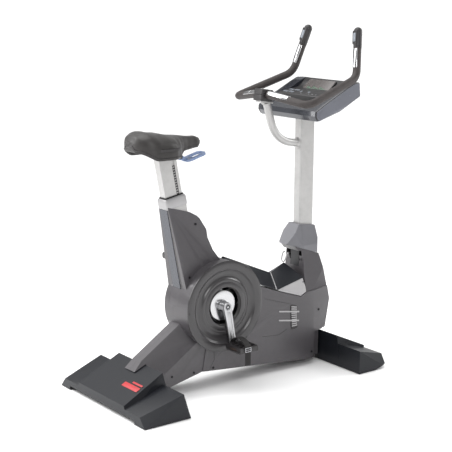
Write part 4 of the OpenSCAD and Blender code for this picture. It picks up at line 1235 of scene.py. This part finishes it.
def saddle():
    """The pad: its skin settled by air pressure, then piping along the lower edge."""
    span = SADDLE_NOSE - SADDLE_BACK
    stops = [SADDLE_BACK + span * (1 - math.cos(math.pi * k / 58)) / 2 for k in range(59)]
    skins = [saddle_ring(x, 2.4) for x in stops]
    pad = piece("saddle_cushion", loft(skins), "seat", SKIN, ["saddle_pad"], angle=60)
    under = [v.index for v in pad.data.vertices if v.co.z < (between([(-404, 1060), (-320, 1012),
        (-200, 1012),
             (-150, 1034), (-59.5, 1060)], (v.co.x - AXLE_X) / MM)) * MM]
    puffed(pad, under, 2.0)
    sub = pad.modifiers.new("smooth", "SUBSURF")
    sub.levels = sub.render_levels = 1
    edge = [Vector((x, -(saddle_half(x) - 1.6), saddle_heights(x)[1] + 9)) for x in stops[3:-3]]
    back = [Vector((p.x, -p.y, p.z)) for p in reversed(edge)]
    line = edge + back + [edge[0]]
    piece("saddle_piping", tube(resampled(line, 7), 1.7, 10), "seat", BLACK, (), angle=60)


def feet():
    """Levelling feet: a rubber pad with a ribbed rim on a short threaded stud."""
    pads, studs = [], []
    for x, y in ((-450, 262), (640, 235)):
        for hand in (RIGHT, LEFT):
            spot = Matrix.Translation((x, hand * y, 0))
            pads.append(placed(revolve([(19.5, 0), (21.6, 0.6), (22, 2), (21.2, 3.2), (21.8, 4.2), (21.4, 6),
                                        (19.5, 7.6), (12, 8), (0.01, 8)], 40), spot))
            rib = [(8, 8)]
            for k in range(5):
                rib += [(7.2, 8.4 + k * 1.3), (8, 9.0 + k * 1.3)]
            studs.append(placed(revolve([(0.01, 7.9)] + rib + [(0.01, 15)], 28), spot))
    piece("foot_pads", joined(*pads), "base", RUBBER, ["levelling_feet"])
    piece("foot_studs", joined(*studs), "base", DARK_STEEL)


def wheels():
    """Transport wheels: a soft tread on a dished hub."""
    profile = [(5.3, -12), (9, -12), (9.6, -10.6), (16.6, -9.6), (17.8, -11.4), (22.8, -11.8),
               (24.6, -10.4), (25, -8),
               (25, -1.2), (24.2, -0.6), (24.2, 0.6), (25, 1.2), (25, 8), (24.6, 10.4), (22.8, 11.8),
               (17.8, 11.4),
               (16.6, 9.6), (9.6, 10.6), (9, 12), (5.3, 12)]
    for hand, name in ((RIGHT, "right"), (LEFT, "left")):
        place = Matrix.Translation((716, hand * 250, 32)) @ Matrix.Rotation(math.radians(90), 4, "X")
        piece(name + "_transport_roller", revolve(profile, 64, True), name + "_transport_wheel", RUBBER,
              [name + "_wheel"], place)


def ornaments():
    """Seams, the plain raised ornament on each side of the housing, and silver strips that are painted
    highlights on the roof crease and round the hollow's rim.
    """
    for hand, name in ((RIGHT, "right"), (LEFT, "left")):
        column = rounded([(384, 304), (424, 292), (430, 188), (392, 184)], 11, 5)
        rungs = []
        for k in range(10):
            t = (k + 0.8) / 10.6
            a = Vector((389 + 6 * t, 297 - 106 * t)), Vector((421 + 5 * t, 290 - 98 * t))
            rungs.append(plate([(a[0].x, a[0].y), (a[1].x, a[1].y), (a[1].x, a[1].y + 5),
                                (a[0].x, a[0].y + 5)],
                               86.5, 88.2, hand, 0.3))
        piece(name + "_ornament_base", plate(column, 84.6, 87.0, hand, 0.7), "base", BLACK)
        bars = [plate([(320, z), (436, z - 19), (436, z - 25.5), (320, z - 6.5)], 84.6, 88.0, hand, 0.5)
                for z in (284, 243)]
        piece(name + "_ornament_bars", joined(*rungs, *bars), "base", SILVER_PLASTIC)
        seams = []
        for points in (((239, 351), (388, 304)), ((368, 192), (322, 173), (225, 181)),
                       ((-60, 86), (-34, 128), (-38, 178))):
            seams.append(tube(resampled([Vector((x, hand * 84.9, z)) for x, z in points], 12), 0.9, 8))
        piece(name + "_shell_seams", joined(*seams), "base", BLACK)
        # painted highlight: a silver strip along the roof crease stands for the edge catching the light
        crease = [Vector((338, hand * 0.5, 439)), Vector((306, hand * 84, 383.4))]
        piece(name + "_roof_crease_highlight", tube(resampled(crease, 8), 1.9, 10), "base", SILVER_PLASTIC)
    # painted highlight: a silver hoop stands where light catches the rim of the hollow
    loop = smooth_path([(430, -14, 520), (420, -14, 515), (411, -12, 488), (409, 0, 479), (411, 12, 488),
                        (420, 14, 515), (430, 14, 520)], 8)
    piece("hollow_rim_highlight", tube(loop, 3.2, 14), "base", SILVER_PLASTIC)
    for hand, name in ((RIGHT, "right"), (LEFT, "left")):
        piece(name + "_cover_screw", across(socket_head(3.6, 1.8, 1.7, 82.6), 459, 395, hand), "base",
              DARK_STEEL)


def accent_bars():
    """Plain red bars on the sloping rear face of the rear foot."""
    slope = math.atan2(153 - 56, -355 + 548)
    place = Matrix.Translation((-452, 0, 105.4)) @ Matrix.Rotation(-slope, 4, "Y")
    bars = [box((24, 110, 1.2), (-16, -100, 0), 3, 0.4, 3), box((9, 70, 1.2), (8, -118, 0), 2.5, 0.4, 3)]
    piece("red_accent_bars", joined(*bars), "base", RED, (), place)


PLAIN_NODES = (
    (FRAME_BLACK, ("rear_cross_tube", "front_cross_tube", "base_rail", "crank_housing", "flywheel_housing",
                   "mast_socket", "console_bracket")),
    (MAST_PAINT, ("mast", "seat_post")),
    (DARK_STEEL, ("handlebar_tube", "flywheel")),
    (STEEL, ("bearings", "brake_arm", "wheel_axles", "crank_axle", "pedal_spindles", "flywheel_shaft")),
    (ALLOY, ("drive_pulley",)),
    (BELT, ("drive_belt",)),
    (BLACK, ("saddle_base",)),
)


def plain_nodes():
    """CAD nodes whose own shape is right, given their finished materials."""
    for finish, nodes in PLAIN_NODES:
        for node in nodes:
            obj = frame["nodes"][node]
            if not obj.material_slots:
                obj.data.materials.append(finish)
            for place in obj.material_slots:
                place.material = finish


def build():
    shells()
    dish_covers()
    drum_bridge()
    screws()
    crank_hardware()
    ring_ribs()
    for hand in (RIGHT, LEFT):
        crank(hand)
        pedal(hand)
        strap(hand)
    grips()
    sensors()
    pods()
    clamp()
    stem()
    console()
    seat_column()
    rack_rungs()
    refined("height_rack", BLACK, 0.2, 1)
    refined("saddle_bracket", FRAME_BLACK, 1.6, 2)
    lever()
    saddle()
    feet()
    wheels()
    ornaments()
    accent_bars()
    plain_nodes()


build()
